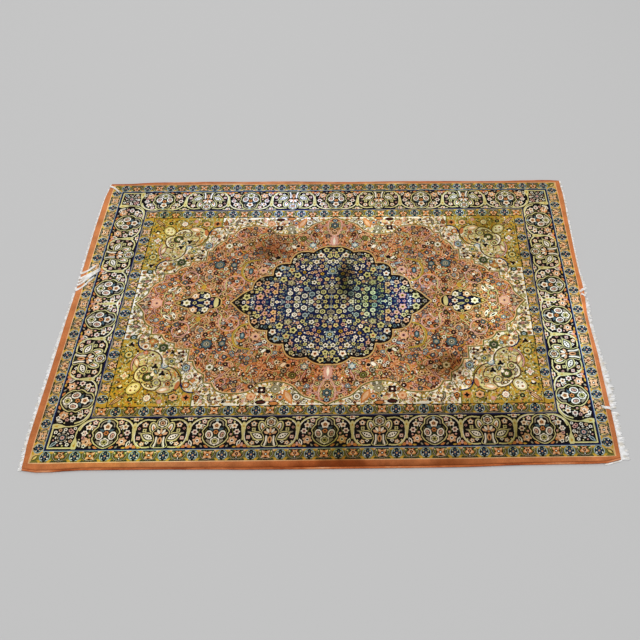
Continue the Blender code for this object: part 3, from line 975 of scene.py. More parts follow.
def drawRust(bare, inRust, rustEdge):
    allowed[:] = inRust
    chart[near(rustEdge, 11) & (chart == rust)] = orange
    # short sprays that lighten the ground
    places, chance = sown(bare, 11, 0.36, seed=7, room=1)
    for place in places:
        turn = np.exp(1j * chance.uniform(0, 6.3))
        dye = pick(chance, peach, peach, sand, orange, pink, pink, cream, gold, peach, sand, stone)
        stroke(plain, (place - 7 * turn, place + 3j * turn, place + 7 * turn), 3.4, dye)
        disc(plain, place - 5 * turn, 2.6, pick(chance, maroon, maroon, olive, dark))
    places, chance = sown(bare, 15, 0.4, seed=27, room=2)
    for place in places:
        turn = np.exp(1j * chance.uniform(0, 6.3))
        dye = pick(chance, maroon, maroon, dark, olive, rust)
        stroke(plain, (place - 6 * turn, place - 2j * turn, place + 6 * turn), 3, dye)
    # curling vines
    places, chance = sown(bare, 46, 0.3, seed=17, room=12)
    for place in places:
        turn = np.exp(1j * chance.uniform(0, 6.3))
        vine = [place + step * turn for step in curl]
        stroke(plain, vine, 5.8, maroon)
        stroke(plain, vine, 3.4, pick(chance, peach, lemon, pink, peach))
    # flowers of three kinds, the dark ones six-petalled and the light ones five-petalled
    places, chance = sown(bare, 23, 0.34, seed=9, room=4)
    for place in places:
        kind = chance.uniform()
        size = chance.uniform(4.6, 8.6)
        turn = chance.uniform(0, 360)
        if kind < 0.5:
            petal = pick(chance, teal, stone, green, maroon, olive, teal, dark, sky)
            middle = pick(chance, dark, maroon)
            heart = pick(chance, cream, peach, sand)
            bloom(plain, place, (size + 1.6, maroon, 6, 0.2, turn), (size, petal, 6, 0.4, turn),
                  (size * 0.5, middle), (size * 0.3, heart))
        elif kind < 0.86:
            petal = pick(chance, peach, sand, pink, peach, cream)
            rim = pick(chance, olive, maroon, rust)
            middle = pick(chance, dark, green, maroon)
            bloom(plain, place, (size + 1.8, rim, 5, 0.3, turn), (size, petal, 5, 0.4, turn),
                  (size * 0.4, middle))
        else:
            petal = pick(chance, lemon, cream, cream)
            bloom(plain, place, (size + 1.2, dark, 5, 0.3, turn), (size - 0.6, petal, 5, 0.4, turn),
                  (size * 0.36, maroon))
    # buds on what ground is left
    places, chance = sown(bare, 9, 0.3, seed=8, room=1)
    for place in places:
        if clear(place, 4, (rust, orange)):
            size = chance.uniform(1.8, 3)
            disc(plain, place, size, pick(chance, peach, orange, rust, maroon, lemon, pink, cream))
    draw(rustMotifs, 0, 1, (False,))


medallionFlowers = (
    # place, radius, dye of the petals, dye of the middle
    (521 + 520j, 12.6, lemon, olive), (562 + 518j, 12.6, pink, gold), (494 + 540j, 7, stone, dark),
    (553 + 467j, 9.6, peach, maroon), (560 + 487j, 8.6, lemon, olive), (579 + 465j, 9.4, peach, dark),
    (607 + 472j, 10, peach, orange), (581 + 497j, 9.6, pink, gold), (607 + 501j, 9.6, peach, gold),
    (629 + 450j, 12, lemon, olive), (653 + 464j, 12.6, stone, lemon), (611 + 428j, 11, cream, orange),
    (622 + 403j, 12, sky, gold), (652 + 412j, 11, lemon, orange), (671 + 353j, 7.6, lemon, olive),
    (681 + 366j, 7, pink, maroon), (667 + 387j, 7.4, pink, gold), (685 + 397j, 7.6, cream, dark),
    (704 + 407j, 7, cream, pink), (698 + 345j, 6.4, stone, dark), (709 + 358j, 8, stone, maroon),
    (740 + 349j, 12, cream, orange), (757 + 327j, 10.4, lemon, dark), (728 + 378j, 10, cream, gold),
    (709 + 383j, 6.6, lemon, olive), (745 + 396j, 7.6, peach, maroon), (769 + 353j, 9.4, lemon, olive),
    (769 + 378j, 8.4, cream, olive), (671 + 433j, 12, lemon, green), (689 + 446j, 8, cream, orange),
    (692 + 421j, 6, gold, dark), (712 + 440j, 6.6, stone, dark), (724 + 463j, 8.6, cream, olive),
    (742 + 453j, 7, pink, dark), (763 + 450j, 8.4, lemon, orange), (748 + 428j, 6.6, gold, maroon),
    (727 + 420j, 6, peach, dark), (743 + 521j, 10, cream, gold), (766 + 521j, 8.6, lemon, gold),
    (719 + 540j, 9.6, cream, lemon), (762 + 540j, 7.4, lemon, orange), (740 + 540j, 6.4, lemon, olive),
    (765 + 478j, 9, stone, lemon), (744 + 484j, 7, lemon, olive), (697 + 466j, 7.6, lemon, dark),
    (722 + 486j, 6, stone, dark), (634 + 480j, 7, stone, dark), (681 + 506j, 6, cream, gold),
    (624 + 519j, 7, stone, dark), (588 + 446j, 6.6, teal, dark), (643 + 432j, 6, sky, dark),
    (562 + 447j, 6, stone, olive),
)
medallionRings = (
    # place, radius, dye
    (671 + 491j, 8.6, cream), (703 + 489j, 9.2, sky), (653 + 506j, 8.6, cream), (648 + 525j, 9, sky),
    (675 + 526j, 9.2, cream), (698 + 517j, 9.6, cream), (720 + 510j, 9.6, sky), (755 + 502j, 9.2, lemon),
    (697 + 540j, 5, lemon), (601 + 530j, 6, cream), (776 + 499j, 8, stone), (738 + 503j, 6, cream),
)


def drawNavy(inNavy, navyEdge):
    allowed[:] = inNavy
    chart[inNavy] = navy
    chart[inNavy & near(navyEdge, 23)] = dark
    chance = np.random.default_rng(12)
    for place, size, petal, middle in medallionFlowers:
        turn = chance.uniform(0, 360)
        bloom(plain, place, (size + 1.8, dark, 5, 0.15, turn), (size, petal, 5, 0.3, turn),
              (size * 0.5, middle, 5, 0.3, turn), (size * 0.22, dark))
    for place, size, dye in medallionRings:
        bloom(plain, place, (size + 1.4, dark), (size, dye, 6, 0.12),
              (size * 0.5, dark), (size * 0.22, dye))
    # a row of leaves round the heart of the medallion
    for place in smooth([780 + 424j, 684 + 480j, 584 + 540j])[::9]:
        if clear(place, 3, (dark, navy)):
            leaf(plain, place - 4 - 3j, place + 5 + 3j, 5, teal)
    # the flower above it
    bloom(plain, 780 + 417j, (17, dark, 8, 0.2), (15, sky, 8, 0.3), (9, green, 6, 0.2),
          (5.4, lemon, 6, 0.2), (2.2, dark))
    # smaller flowers, and then leaves and buds, in what is left
    places, chance = sown(inNavy, 11, 0.3, seed=11, room=2)
    for place in places:
        size = chance.uniform(5, 6.6)
        turn = chance.uniform(0, 360)
        petal = pick(chance, cream, lemon, lemon, stone, peach, sky, pink)
        if clear(place, 5, (dark, navy)):
            middle = pick(chance, dark, olive, gold)
            bloom(plain, place, (size, petal, 5, 0.34, turn), (size * 0.42, middle))
    places, chance = sown(inNavy, 6.5, 0.3, seed=13, room=1)
    for place in places:
        if clear(place, 3, (dark, navy)):
            turn = np.exp(1j * chance.uniform(0, 6.3))
            dye = pick(chance, lemon, olive, stone, cream, peach, teal, sky, stone)
            leaf(plain, place - 4 * turn, place + 4 * turn, 4.4, dye)


pendantFlowers = (
    # place, radius, dye of the petals, dye of the middle
    (316 + 540j, 6.6, gold, lemon), (341 + 540j, 13, cream, lemon), (363 + 513j, 14, peach, cream),
    (399 + 514j, 11.4, cream, lemon), (382 + 500j, 6, lemon, olive), (365 + 540j, 7, lemon, maroon),
    (402 + 540j, 10.4, cream, orange), (416 + 526j, 5, pink, maroon), (326 + 529j, 4.4, sky, dark),
    (385 + 513j, 4, sky, dark),
)


def drawPendant(inPendant, pendantEdge):
    chart[inPendant] = navy
    chart[inPendant & near(pendantEdge, 9)] = dark
    allowed[:] = inPendant & ~near(pendantEdge, 3.8)
    for place, size, petal, middle in pendantFlowers:
        bloom(plain, place, (size + 1.6, dark), (size, petal, 6, 0.3),
              (size * 0.44, middle), (size * 0.2, maroon))
    leaf(plain, 372 + 531j, 397 + 527j, 9, lemon)
    leaf(plain, 377 + 530j, 391 + 528j, 3, olive)
    # the tall leaf at the inner end
    leaf(plain, 430 + 517j, 430 + 563j, 14, lemon)


def drawChart():
    drawBands()
    drawGuards()
    drawBorder()
    field = np.minimum(allRows, allColumns) >= pattern["field"]
    outlines = (rustOutline, navyOutline, pendantOutline, spandrelOutline)
    rustEdge, navyEdge, pendantEdge, goldEdge = [lobed(outline) for outline in outlines]
    # each outline is closed past the quarter's own edges
    past = halfAcross * 1j + 5j
    inRust = within(rustEdge + [halfAlong + 180j, halfAlong + past, rustEdge[0] + 5j]) & field
    inNavy = within(navyEdge + [halfAlong + 300j, halfAlong + past, navyEdge[0] + 5j]) & field
    inPendant = within(pendantEdge + [pendantEdge[-1] + 5j, pendantEdge[0] + 5j]) & field
    inGold = within(goldEdge + [170 + 170j]) & field
    chart[inRust] = rust
    chart[inNavy | inPendant] = navy
    chart[inGold] = gold
    drawCream(field & ~inRust & ~inGold)
    drawGold(inGold, goldEdge)
    drawRust(inRust & ~inNavy & ~inPendant, inRust, rustEdge)
    allowed[:] = field
    fieldLine([place + (1.6 + 1.6j) for place in rustEdge], ((5.4, peach),))
    fieldLine(rustEdge, ((4.2, olive),))
    fieldLine(navyEdge, ((6.6, maroon), (4.4, sand)))
    fieldLine(pendantEdge, ((6, maroon), (3.8, sand)))
    drawNavy(inNavy & ~near(navyEdge, 3.2), navyEdge)
    drawPendant(inPendant & ~near(pendantEdge, 1.8), pendantEdge)


print("pattern: drawing the knot chart")
drawChart()
wholeChart = np.hstack([chart, chart[:, ::-1]])
wholeChart = np.vstack([wholeChart, wholeChart[::-1]])

# the cloth: one grid of faces, five knots by five, cut into pieces along the pattern's lines


def knotPlaces(knots, start):
    # grid lines in knots: closer ones round the worn edge over, and the first and last are the rim's foot
    size = rug["knots per face"]
    close = [start, start + 0.45, start + 1.1, start + 2.0]
    middle = [place for place in range(0, knots + 1, size) if close[-1] + 1 < place < knots - close[-1] - 1]
    inner = close + middle + [knots - place for place in reversed(close)]
    return np.array([start - rug["rim foot"]] + inner + [knots - start + rug["rim foot"]], float)


def clothGrid():
    along, across, plainBand = rug["knots along"], rug["knots across"], rug["plain band"]
    columns = knotPlaces(along, 0.0)
    rows = knotPlaces(across, rug["cord band"])
    onColumns = np.clip(columns, columns[1], columns[-2]) / along
    onRows = np.clip(rows, rows[1], rows[-2]) / across
    u, v = np.meshgrid(onColumns, onRows)
    # where the pattern's lines lie in metres
    (nearFront, frontTable), (nearBack, backTable) = wovenAlong
    frontX, backX = [np.interp(onColumns * along, *zip(*table)) for table in (frontTable, backTable)]
    share = np.clip((onRows - nearFront) / (nearBack - nearFront), -0.25, 1.1)[:, None]
    trueX = ((frontX * (1 - share) + backX * share) / along - 0.5) * rug["length"]
    trueY = (np.interp(onRows * across, *zip(*wovenAcross)) / across - 0.5) * rug["width"]
    # the plain band outside the pattern takes up what the worn edges do
    share = np.minimum(onColumns, 1 - onColumns) * along
    share = np.clip(share / plainBand, 0, 1)[None, :]
    ends = [np.array([endX(side, place) for place in onRows])[:, None] for side in (-1, 1)]
    x = np.where(u < 0.5, ends[0], ends[1]) * (1 - share) + trueX * share
    foot = onRows[0] * across
    share = np.minimum(onRows, 1 - onRows) * across
    share = np.clip((share - foot) / (plainBand - foot), 0, 1)[:, None]
    cordRoom = rug["side cord width"] + rug["gap"] * 1.2
    sides = [np.array([edgeY(side, place) - side * cordRoom for place in onColumns]) for side in (-1, 1)]
    y = np.where(v < 0.5, sides[0][None, :], sides[1][None, :]) * (1 - share) + trueY[:, None] * share
    x = x + shift[0]
    y = y + shift[1]
    # the waves of the solid, and small ones that cross each other
    z = rug["pile top"] + rug["long waves"] * np.sin(7.1 * u + 2.3 * v) * np.cos(9.7 * v - 3.1 * u)
    ripple = np.sin(210 * x + 3 * np.sin(31 * y)) + np.sin(173 * y + 2 * np.sin(43 * x))
    ripple = ripple + np.sin(95 * x - 121 * y)
    z = z + rug["short waves"] * ripple / 2
    # how far in from the rim a point is, in millimetres
    fromEnds = np.minimum(u, 1 - u) * rug["length"] * 1000
    fromSides = np.minimum(v - onRows[0], onRows[-1] - v) * rug["width"] * 1000
    worn = 1 - np.clip(np.minimum(fromEnds, fromSides) / rug["rim reach"], 0, 1)
    z = z - rug["rim drop"] * worn ** 2
    z[0] = z[-1] = 0
    z[:, 0] = z[:, -1] = 0
    return columns, rows, np.stack([x, y, z], -1)


columns, rows, clothPoints = clothGrid()


def addLayout(mesh, name, flat):
    # where each corner of the faces lies in a picture
    mesh.uv_layers.new(name=name).data.foreach_set("uv", flat.astype(np.float32).ravel())


def clothMesh(name, chosen, layout, under=False):
    # the chosen faces of the grid, with what the pile material reads: each face's knots and where they lie
    across, along = np.nonzero(chosen)
    wide = len(columns)
    corners = across * wide + along
    faces = np.stack([corners, corners + 1, corners + wide + 1, corners + wide], 1)
    cornerColumn = np.stack([along, along + 1, along + 1, along], 1)
    cornerRow = np.stack([across, across, across + 1, across + 1], 1)
    if under:
        faces, cornerColumn, cornerRow = [part[:, ::-1] for part in (faces, cornerColumn, cornerRow)]
    used, faces = np.unique(faces, return_inverse=True)
    points = clothPoints.reshape(-1, 3)[used].copy()
    if under:
        points[:, 2] = 0.0001      # just above the floor
    mesh = bpy.data.meshes.new(name)
    mesh.from_pydata(points.tolist(), [], faces.reshape(-1, 4).tolist())
    # which block of knots each face shows, and where its corners lie in that block
    size = rug["knots per face"]
    blockColumn = np.clip((columns[along] + columns[along + 1]) / 2, 0, rug["knots along"] - 1) // size
    blockRow = np.clip((rows[across] + rows[across + 1]) / 2, 0, rug["knots across"] - 1) // size
    inBlockX = columns[cornerColumn] - size * blockColumn[:, None]
    inBlockY = rows[cornerRow] - size * blockRow[:, None]
    addLayout(mesh, "patch", np.clip(np.stack([inBlockX, inBlockY], -1), 0.01, size - 0.01))
    addLayout(mesh, "OFBake", layout(columns[cornerColumn], rows[cornerRow], columns[along], rows[across]))
    # each row of the block is one number, whose digits are its dyes
    blocks = wholeChart.reshape(rug["knots across"] // size, size, rug["knots along"] // size, size)
    for line in range(size):
        codes = (blocks[:, line] * dyeCount ** np.arange(size)).sum(-1)
        codes = codes[blockRow.astype(int), blockColumn.astype(int)]
        layer = mesh.attributes.new("knots%d" % line, "FLOAT", "FACE")
        layer.data.foreach_set("value", codes.astype(np.float32))
    mesh.shade_smooth()
    return mesh


bakedPicture = {
    # how the pieces lie in their baked pictures
    "margin": 0.008,
    # a border piece's picture, in knots: its size, its margin, the foot of its second and third strip,
    # and where the right short side starts in the third
    "wide": 800,
    "tall": 600,
    "strip margin": 8,
    "second strip": 200,
    "third strip": 400,
    "right side": 370,
}


def wholeLayout(left, front, right, back):
    # this part of the cloth fills the picture
    def layout(x, y, faceX, faceY):
        share = np.stack([(x - left) / (right - left), (y - front) / (back - front)], -1)
        return share * (1 - 2 * bakedPicture["margin"]) + bakedPicture["margin"]
    return layout


def borderLayout(x, y, faceX, faceY):
    # a long side in two strips, and the two short sides turned to lie in a third
    meet = pattern["pieces meet"]
    far = rug["knots across"] - y
    y = np.where(y > rug["knots across"] / 2, far, y)
    faceY = np.minimum(faceY, rug["knots across"] - faceY - 0.1)
    half = rug["knots along"] / 2
    onShortSide = (faceY >= meet)[:, None]
    onRight = (faceX >= half)[:, None]
    across = np.where(onRight, rug["knots along"] - x, x)
    shortX = np.where(onRight, bakedPicture["right side"] + y - meet, y - meet)
    longX = np.where(onRight, x - half, x)
    longY = np.where(onRight, y + bakedPicture["second strip"], y)
    stripX = np.where(onShortSide, shortX, longX) + bakedPicture["strip margin"]
    stripY = np.where(onShortSide, across + bakedPicture["third strip"], longY) + bakedPicture["strip margin"]
    return np.stack([stripX / bakedPicture["wide"], stripY / bakedPicture["tall"]], -1)


# which faces of the grid each piece takes; the four at its corners belong to none
middleColumn = (columns[1:] + columns[:-1]) / 2
middleRow = (rows[1:] + rows[:-1]) / 2
fieldLeft = fieldFront = pattern["pieces meet"]
fieldRight, fieldBack = rug["knots along"] - fieldLeft, rug["knots across"] - fieldFront
inColumns = (middleColumn > fieldLeft) & (middleColumn < fieldRight)
inRows = (middleRow > fieldFront) & (middleRow < fieldBack)
inField = inRows[:, None] & inColumns[None, :]
atCorner = np.zeros(inField.shape, bool)
atCorner[[0, 0, -1, -1], [0, -1, 0, -1]] = True
inFront = (middleRow < rug["knots across"] / 2)[:, None] & ~inField & ~atCorner
inBack = (middleRow > rug["knots across"] / 2)[:, None] & ~inField & ~atCorner
inside = np.zeros(inField.shape, bool)
inside[1:-1, 1:-1] = True

# the wool pile

pile = {
    "roughness": 0.93,
    "sheen": 0.03,
    "sheen roughness": 0.6,
    "specular": 0.06,
    # how far the shade changes, as shares: from knot to knot, skein to skein, and where feet have gone
    "knot change": 0.2,
    "skein change": 0.1,
    "wear change": 0.24,
    # sizes in millimetres: tufts lean together in clumps of this size
    "knot": 1.35,
    "skein": 160,
    "wear": 50,
    "tuft": 7,
    "tuft depth": 0.6,
    "tuft strength": 0.5,
    # the patches of fading, stains, painted sheen and painted shade have wavering edges: the size of a wave
    # in millimetres, and how far it moves them in metres
    "patch wave": 111,
    "patch drift": 0.09,
    # a patch starts to thin out at the first share of its reach and ends at the second
    "patch edge": (0.15, 1.15),
}
# the cloth's own fading and stains, mixed with painted light: a paler, bluer painted sheen towards the back
# and the ends, and painted shade along the front and in dark blots on the field: the middle and the reach in
# metres along and across, and what is left there of the red, green and blue
fadingStainsAndPaintedLight = (
    (0.052, 0.135, 0.050, 0.19, (0.22, 0.25, 0.13)),
    (0.17, 0.03, 0.12, 0.16, (0.66, 0.84, 0.52)),
    (-0.27, 0.31, 0.11, 0.10, (0.48, 0.38, 0.32)),
    (-0.15, -0.32, 0.20, 0.09, (0.86, 0.66, 0.50)),
    (0.45, -0.31, 0.10, 0.08, (0.44, 0.34, 0.20)),
    (0.67, 0.44, 0.10, 0.11, (0.56, 0.54, 0.26)),
    (-0.75, -0.41, 0.10, 0.17, (1.12, 1.02, 0.50)),
    (-0.75, 0.48, 0.10, 0.16, (0.98, 0.94, 0.50)),
    (0.26, -0.60, 0.95, 0.16, (0.55, 0.51, 0.48)),
    (0.04, -0.66, 0.10, 0.08, (0.62, 0.62, 0.30)),
    (0.68, -0.62, 0.08, 0.09, (0.60, 0.58, 0.40)),
    (-0.46, 0.61, 0.62, 0.17, (1.18, 1.34, 1.80)),
    (-0.20, 0.55, 0.16, 0.16, (1.18, 1.26, 1.60)),
    (0.18, 0.45, 0.11, 0.16, (1.25, 1.34, 1.42)),
    (0.55, 0.59, 0.09, 0.19, (1.20, 1.36, 1.60)),
    (0.64, -0.02, 0.15, 0.22, (1.35, 1.56, 1.48)),
    (-0.66, -0.01, 0.09, 0.17, (1.12, 1.16, 1.12)),
    (0.95, -0.30, 0.15, 0.50, (1.19, 1.42, 1.75)),
    (-0.87, 0.10, 0.15, 0.55, (1.06, 1.18, 1.42)),
    (-0.05, 0.01, 0.15, 0.12, (0.76, 0.80, 0.80)),
    (0.28, 0.04, 0.14, 0.18, (1.30, 1.56, 2.20)),
    (-0.75, -0.685, 0.32, 0.07, (1.25, 1.45, 1.20)),
    (-0.02, -0.73, 0.30, 0.05, (0.86, 0.66, 0.50)),
    (-0.55, -0.735, 0.20, 0.04, (1.10, 1.25, 1.40)),
    (1.02, 0.05, 0.08, 0.66, (1.30, 1.22, 1.16)),
    (-1.00, 0.05, 0.07, 0.62, (1.08, 1.08, 1.12)),
    (0.10, 0.53, 0.90, 0.06, (1.26, 1.28, 1.24)),
    (0.15, -0.750, 0.80, 0.048, (0.40, 0.30, 0.17)),
    (-1.05, 0.35, 0.035, 0.60, (1.26, 1.44, 1.55)),
    (1.05, 0.35, 0.035, 0.40, (0.96, 1.20, 1.20)),
    (0.00, 0.74, 1.10, 0.025, (1.15, 1.60, 2.00)),
)


def knotDye(tree):
    # which dye the knot at this place has, as the middle of its step on the colour ramp
    size = rug["knots per face"]
    patch = addNode(tree, "UVMap", {"uv_map": "patch"}).outputs[0]
    parts = addNode(tree, "SeparateXYZ", {}, {0: patch})
    value = addNode(tree, "Attribute", {"attribute_name": "knots0"}).outputs["Fac"]
    for line in range(1, size):
        later = addNode(tree, "Math", {"operation": "GREATER_THAN"}, {0: parts.outputs[1], 1: float(line)})
        other = addNode(tree, "Attribute", {"attribute_name": "knots%d" % line}).outputs["Fac"]
        value = addNode(tree, "Mix", {}, {0: later.outputs[0], 2: value, 3: other}).outputs[0]
    # the digit that stands for this knot
    place = addNode(tree, "Math", {"operation": "FLOOR"}, {0: parts.outputs[0]})
    power = addNode(tree, "Math", {"operation": "POWER"}, {0: dyeCount, 1: place.outputs[0]})
    middle = addNode(tree, "Math", {"operation": "ADD"}, {0: value, 1: 0.5})
    moved = addNode(tree, "Math", {"operation": "DIVIDE"}, {0: middle.outputs[0], 1: power.outputs[0]})
    whole = addNode(tree, "Math", {"operation": "FLOOR"}, {0: moved.outputs[0]})
    digit = addNode(tree, "Math", {"operation": "FLOORED_MODULO"}, {0: whole.outputs[0], 1: dyeCount})
    onRamp = {0: digit.outputs[0], 1: 1 / dyeCount, 2: 0.5 / dyeCount}
    return addNode(tree, "Math", {"operation": "MULTIPLY_ADD"}, onRamp).outputs[0]


multiply = {"data_type": "RGBA", "blend_type": "MULTIPLY"}


def shaded(tree, colour, amount, factor):
    # the colour made lighter and darker about its own by a factor that runs from 0 to 1
    level = addNode(tree, "MapRange", {}, {0: factor, 3: 1 - amount, 4: 1 + amount})
    return addNode(tree, "Mix", multiply, {0: 1.0, 6: colour, 7: level.outputs[0]}).outputs[2]


def withFadingAndPaintedLight(tree, colour, place):
    # the colour in each of the patches: faded or stained, lightened by painted sheen and darkened by painted
    # shade
    wave = {"Vector": place, "Scale": 1000 / pile["patch wave"], "Detail": 3.0}
    drift = addNode(tree, "TexNoise", {}, wave)
    moved = {0: drift.outputs[1], "Scale": pile["patch drift"]}
    drift = addNode(tree, "VectorMath", {"operation": "SCALE"}, moved)
    place = addNode(tree, "VectorMath", {"operation": "ADD"}, {0: place, 1: drift.outputs[0]}).outputs[0]
    mean = pile["patch drift"] / 2
    start, end = pile["patch edge"]
    for x, y, along, across, left in fadingStainsAndPaintedLight:
        middle = (x + mean, y + mean, 0.0)
        far = addNode(tree, "VectorMath", {"operation": "SUBTRACT"}, {0: place, 1: middle})
        reach = (along, across, 1.0)
        far = addNode(tree, "VectorMath", {"operation": "DIVIDE"}, {0: far.outputs[0], 1: reach})
        far = addNode(tree, "VectorMath", {"operation": "LENGTH"}, {0: far.outputs[0]})
        thinned = {0: far.outputs[1], 1: start, 2: end, 3: 1.0, 4: 0.0}
        part = addNode(tree, "MapRange", {"interpolation_type": "SMOOTHSTEP"}, thinned)
        colour = addNode(tree, "Mix", multiply, {0: part.outputs[0], 6: colour, 7: (*left, 1.0)}).outputs[2]
    return colour


def finished(tree, shader, colour, bump, values):
    # the last links and values of a wool or a cotton
    tree.links.new(colour, shader.inputs["Base Color"])
    tree.links.new(bump.outputs[0], shader.inputs["Normal"])
    shader.inputs["Roughness"].default_value = values["roughness"]
    shader.inputs["Specular IOR Level"].default_value = values["specular"]
    shader.inputs["Sheen Weight"].default_value = values["sheen"]


def pileMaterial(name, under=False):
    # hand-spun wool, knotted and shorn: matt, its shade changing from knot to knot and skein to skein
    made, tree, shader = newMaterial(name)
    ramp = addNode(tree, "ValToRGB", {}, {0: knotDye(tree)})
    ramp.color_ramp.interpolation = "CONSTANT"
    stops = ramp.color_ramp.elements
    while len(stops) < len(dyes):
        stops.new(1.0)
    for k, code in enumerate(dyes.values()):
        stops[k].position = k / dyeCount
        stops[k].color = linear(code)
    place = addNode(tree, "TexCoord").outputs["Object"]
    step = (pile["knot"] / 1000,) * 3
    knot = addNode(tree, "VectorMath", {"operation": "SNAP"}, {0: place, 1: step})
    chance = addNode(tree, "TexWhiteNoise", {}, {0: knot.outputs[0]})
    colour = shaded(tree, ramp.outputs[0], pile["knot change"], chance.outputs[0])
    # skeins dyed apart follow one another across the rug's length
    stretched = addNode(tree, "VectorMath", {"operation": "MULTIPLY"}, {0: place, 1: (0.25, 1.0, 1.0)})
    scale = 1000 / pile["skein"]
    skein = addNode(tree, "TexNoise", {}, {"Vector": stretched.outputs[0], "Scale": scale, "Detail": 1.0})
    colour = shaded(tree, colour, pile["skein change"] * 2, skein.outputs[0])
    clouds = {"Vector": place, "Scale": 1000 / pile["wear"], "Detail": 4.0, "Roughness": 0.62}
    wear = addNode(tree, "TexNoise", {}, clouds)
    colour = shaded(tree, colour, pile["wear change"] * 2, wear.outputs[0])
    if not under:
        # only the top takes the patches, with their painted sheen and painted shade as well as fading and
        # stains
        colour = withFadingAndPaintedLight(tree, colour, place)
    scale = 1000 / pile["tuft"]
    tufts = addNode(tree, "TexNoise", {}, {"Vector": place, "Scale": scale, "Detail": 1.0})
    depth = pile["tuft depth"] / 1000
    relief = {"Strength": pile["tuft strength"], "Distance": depth, "Height": tufts.outputs[0]}
    bump = addNode(tree, "Bump", {}, relief)
    finished(tree, shader, colour, bump, pile)
    shader.inputs["Sheen Roughness"].default_value = pile["sheen roughness"]
    return made


woolPile = pileMaterial("shorn wool pile")
woolBack = pileMaterial("wool knots from the back", True)
print("cloth: building its pieces")
fieldLayout = wholeLayout(fieldLeft, fieldFront, fieldRight, fieldBack)
backLayout = wholeLayout(0, 0, rug["knots along"], rug["knots across"])
field = newObject("rug_field", clothMesh("rug_field", inField, fieldLayout), woolPile)
borderFront = newObject("rug_border_front", clothMesh("rug_border_front", inFront, borderLayout), woolPile)
borderBack = newObject("rug_border_back", clothMesh("rug_border_back", inBack, borderLayout), woolPile)
underside = newObject("rug_back", clothMesh("rug_back", inside, backLayout, True), woolBack)
for piece in (field, borderFront, borderBack, underside):
    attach(piece, "root")
    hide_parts("rug")

# the side cords and the fringes

cord = {
    # overcast with wool over a few warps, in metres
    "step": 0.00075,
    "sides": 12,
    "wrap": 0.0034,
    "wrap depth": 0.00022,
    "wrap slant": 0.35,
    # rows of the baked picture that the cord is folded into
    "rows": 24,
    # it stays this much inside the solid cord
    "core": 0.95,
    "colour": "#bd6a3a",
    "worn colour": "#d99c72",
    "dark colour": "#8f4420",
    "roughness": 0.92,
    "specular": 0.08,
    "sheen": 0.05,
    # how far the shade changes, as shares: among fibres, and from the hollows to the tops of the turns, the
    # hollows darkened with painted shade and the tops rubbed pale with wear
    "fibre change": 0.3,
    "turn shade and wear": 0.22,
    # sizes in millimetres: the fibres are drawn much coarser than real ones, so that they show
    "worn patch": 143,
    "fibre": 2.38,
    "fibre depth": 0.3,
    "fibre strength": 0.4,
}
fringe = {
    # in metres; the strip is the band of twined cotton
    "strands": 96,
    "strip": 0.003,
    "drift": 0.0022,
    # two cords twined round each other: a whole turn, their radius and how far they swing
    "twine turn": 0.011,
    "twine radius": 0.00088,
    "twine swing": 0.0006,
    "twine step": 0.0012,
    # those side by side from one strand's middle to the next, and those of a loose strand
    "yarns": 11,
    "loose yarns": 14,
    "yarn radius": 0.00092,
    "hairs": 4,
    "hair radius": 0.00028,
    # how far the tips of a loose strand's yarns and of the others stray sideways
    "loose fray": 0.0014,
    "fray": 0.0012,
    # a loose strand: its width at the root, on the rim and at the tip, and its height
    "loose widths": (0.0062, 0.0135, 0.0110),
    "loose height": 0.0030,
    # the strand bent round the worn corner: how far it reaches along the cord, and how far aside it lies
    "bent reach": 0.062,
    "bent aside": 0.0036,
    "seed": 21,
    "colour": "#ffffff",
    "shade": "#eae4d8",
    "roughness": 0.9,
    "specular": 0.15,
    "sheen": 0.1,
    # sizes in millimetres: a cloud of dust, and fibres drawn coarser than real ones so that they show
    "dust": 16.7,
    "fibre": 1.11,
    "fibre depth": 0.2,
    "fibre strength": 0.4,
}
fringeLengths = (
    # share of the way across, left end, right end, in metres
    (0.00, 0.012, 0.030),
    (0.09, 0.011, 0.020),
    (0.20, 0.013, 0.027),
    (0.27, 0.012, 0.022),
    (0.34, 0.013, 0.012),
    (0.46, 0.009, 0.015),
    (0.54, 0.010, 0.012),
    (0.62, 0.009, 0.006),
    (1.00, 0.005, 0.007),
)
looseStrands = (
    # end, share of the way across at the root, reach over the pile and drift along the end, in metres
    (-1, 0.562, 0.060, 0.072),
    (-1, 0.573, 0.078, 0.086),
    (-1, 0.588, 0.068, 0.070),
    (-1, 0.604, 0.074, 0.064),
    (-1, 0.620, 0.056, 0.046),
    (-1, 0.983, 0.056, -0.040),
    (1, 0.145, 0.034, 0.016),
    (1, 0.515, 0.016, 0.010),
    (1, 0.535, 0.020, -0.008),
)


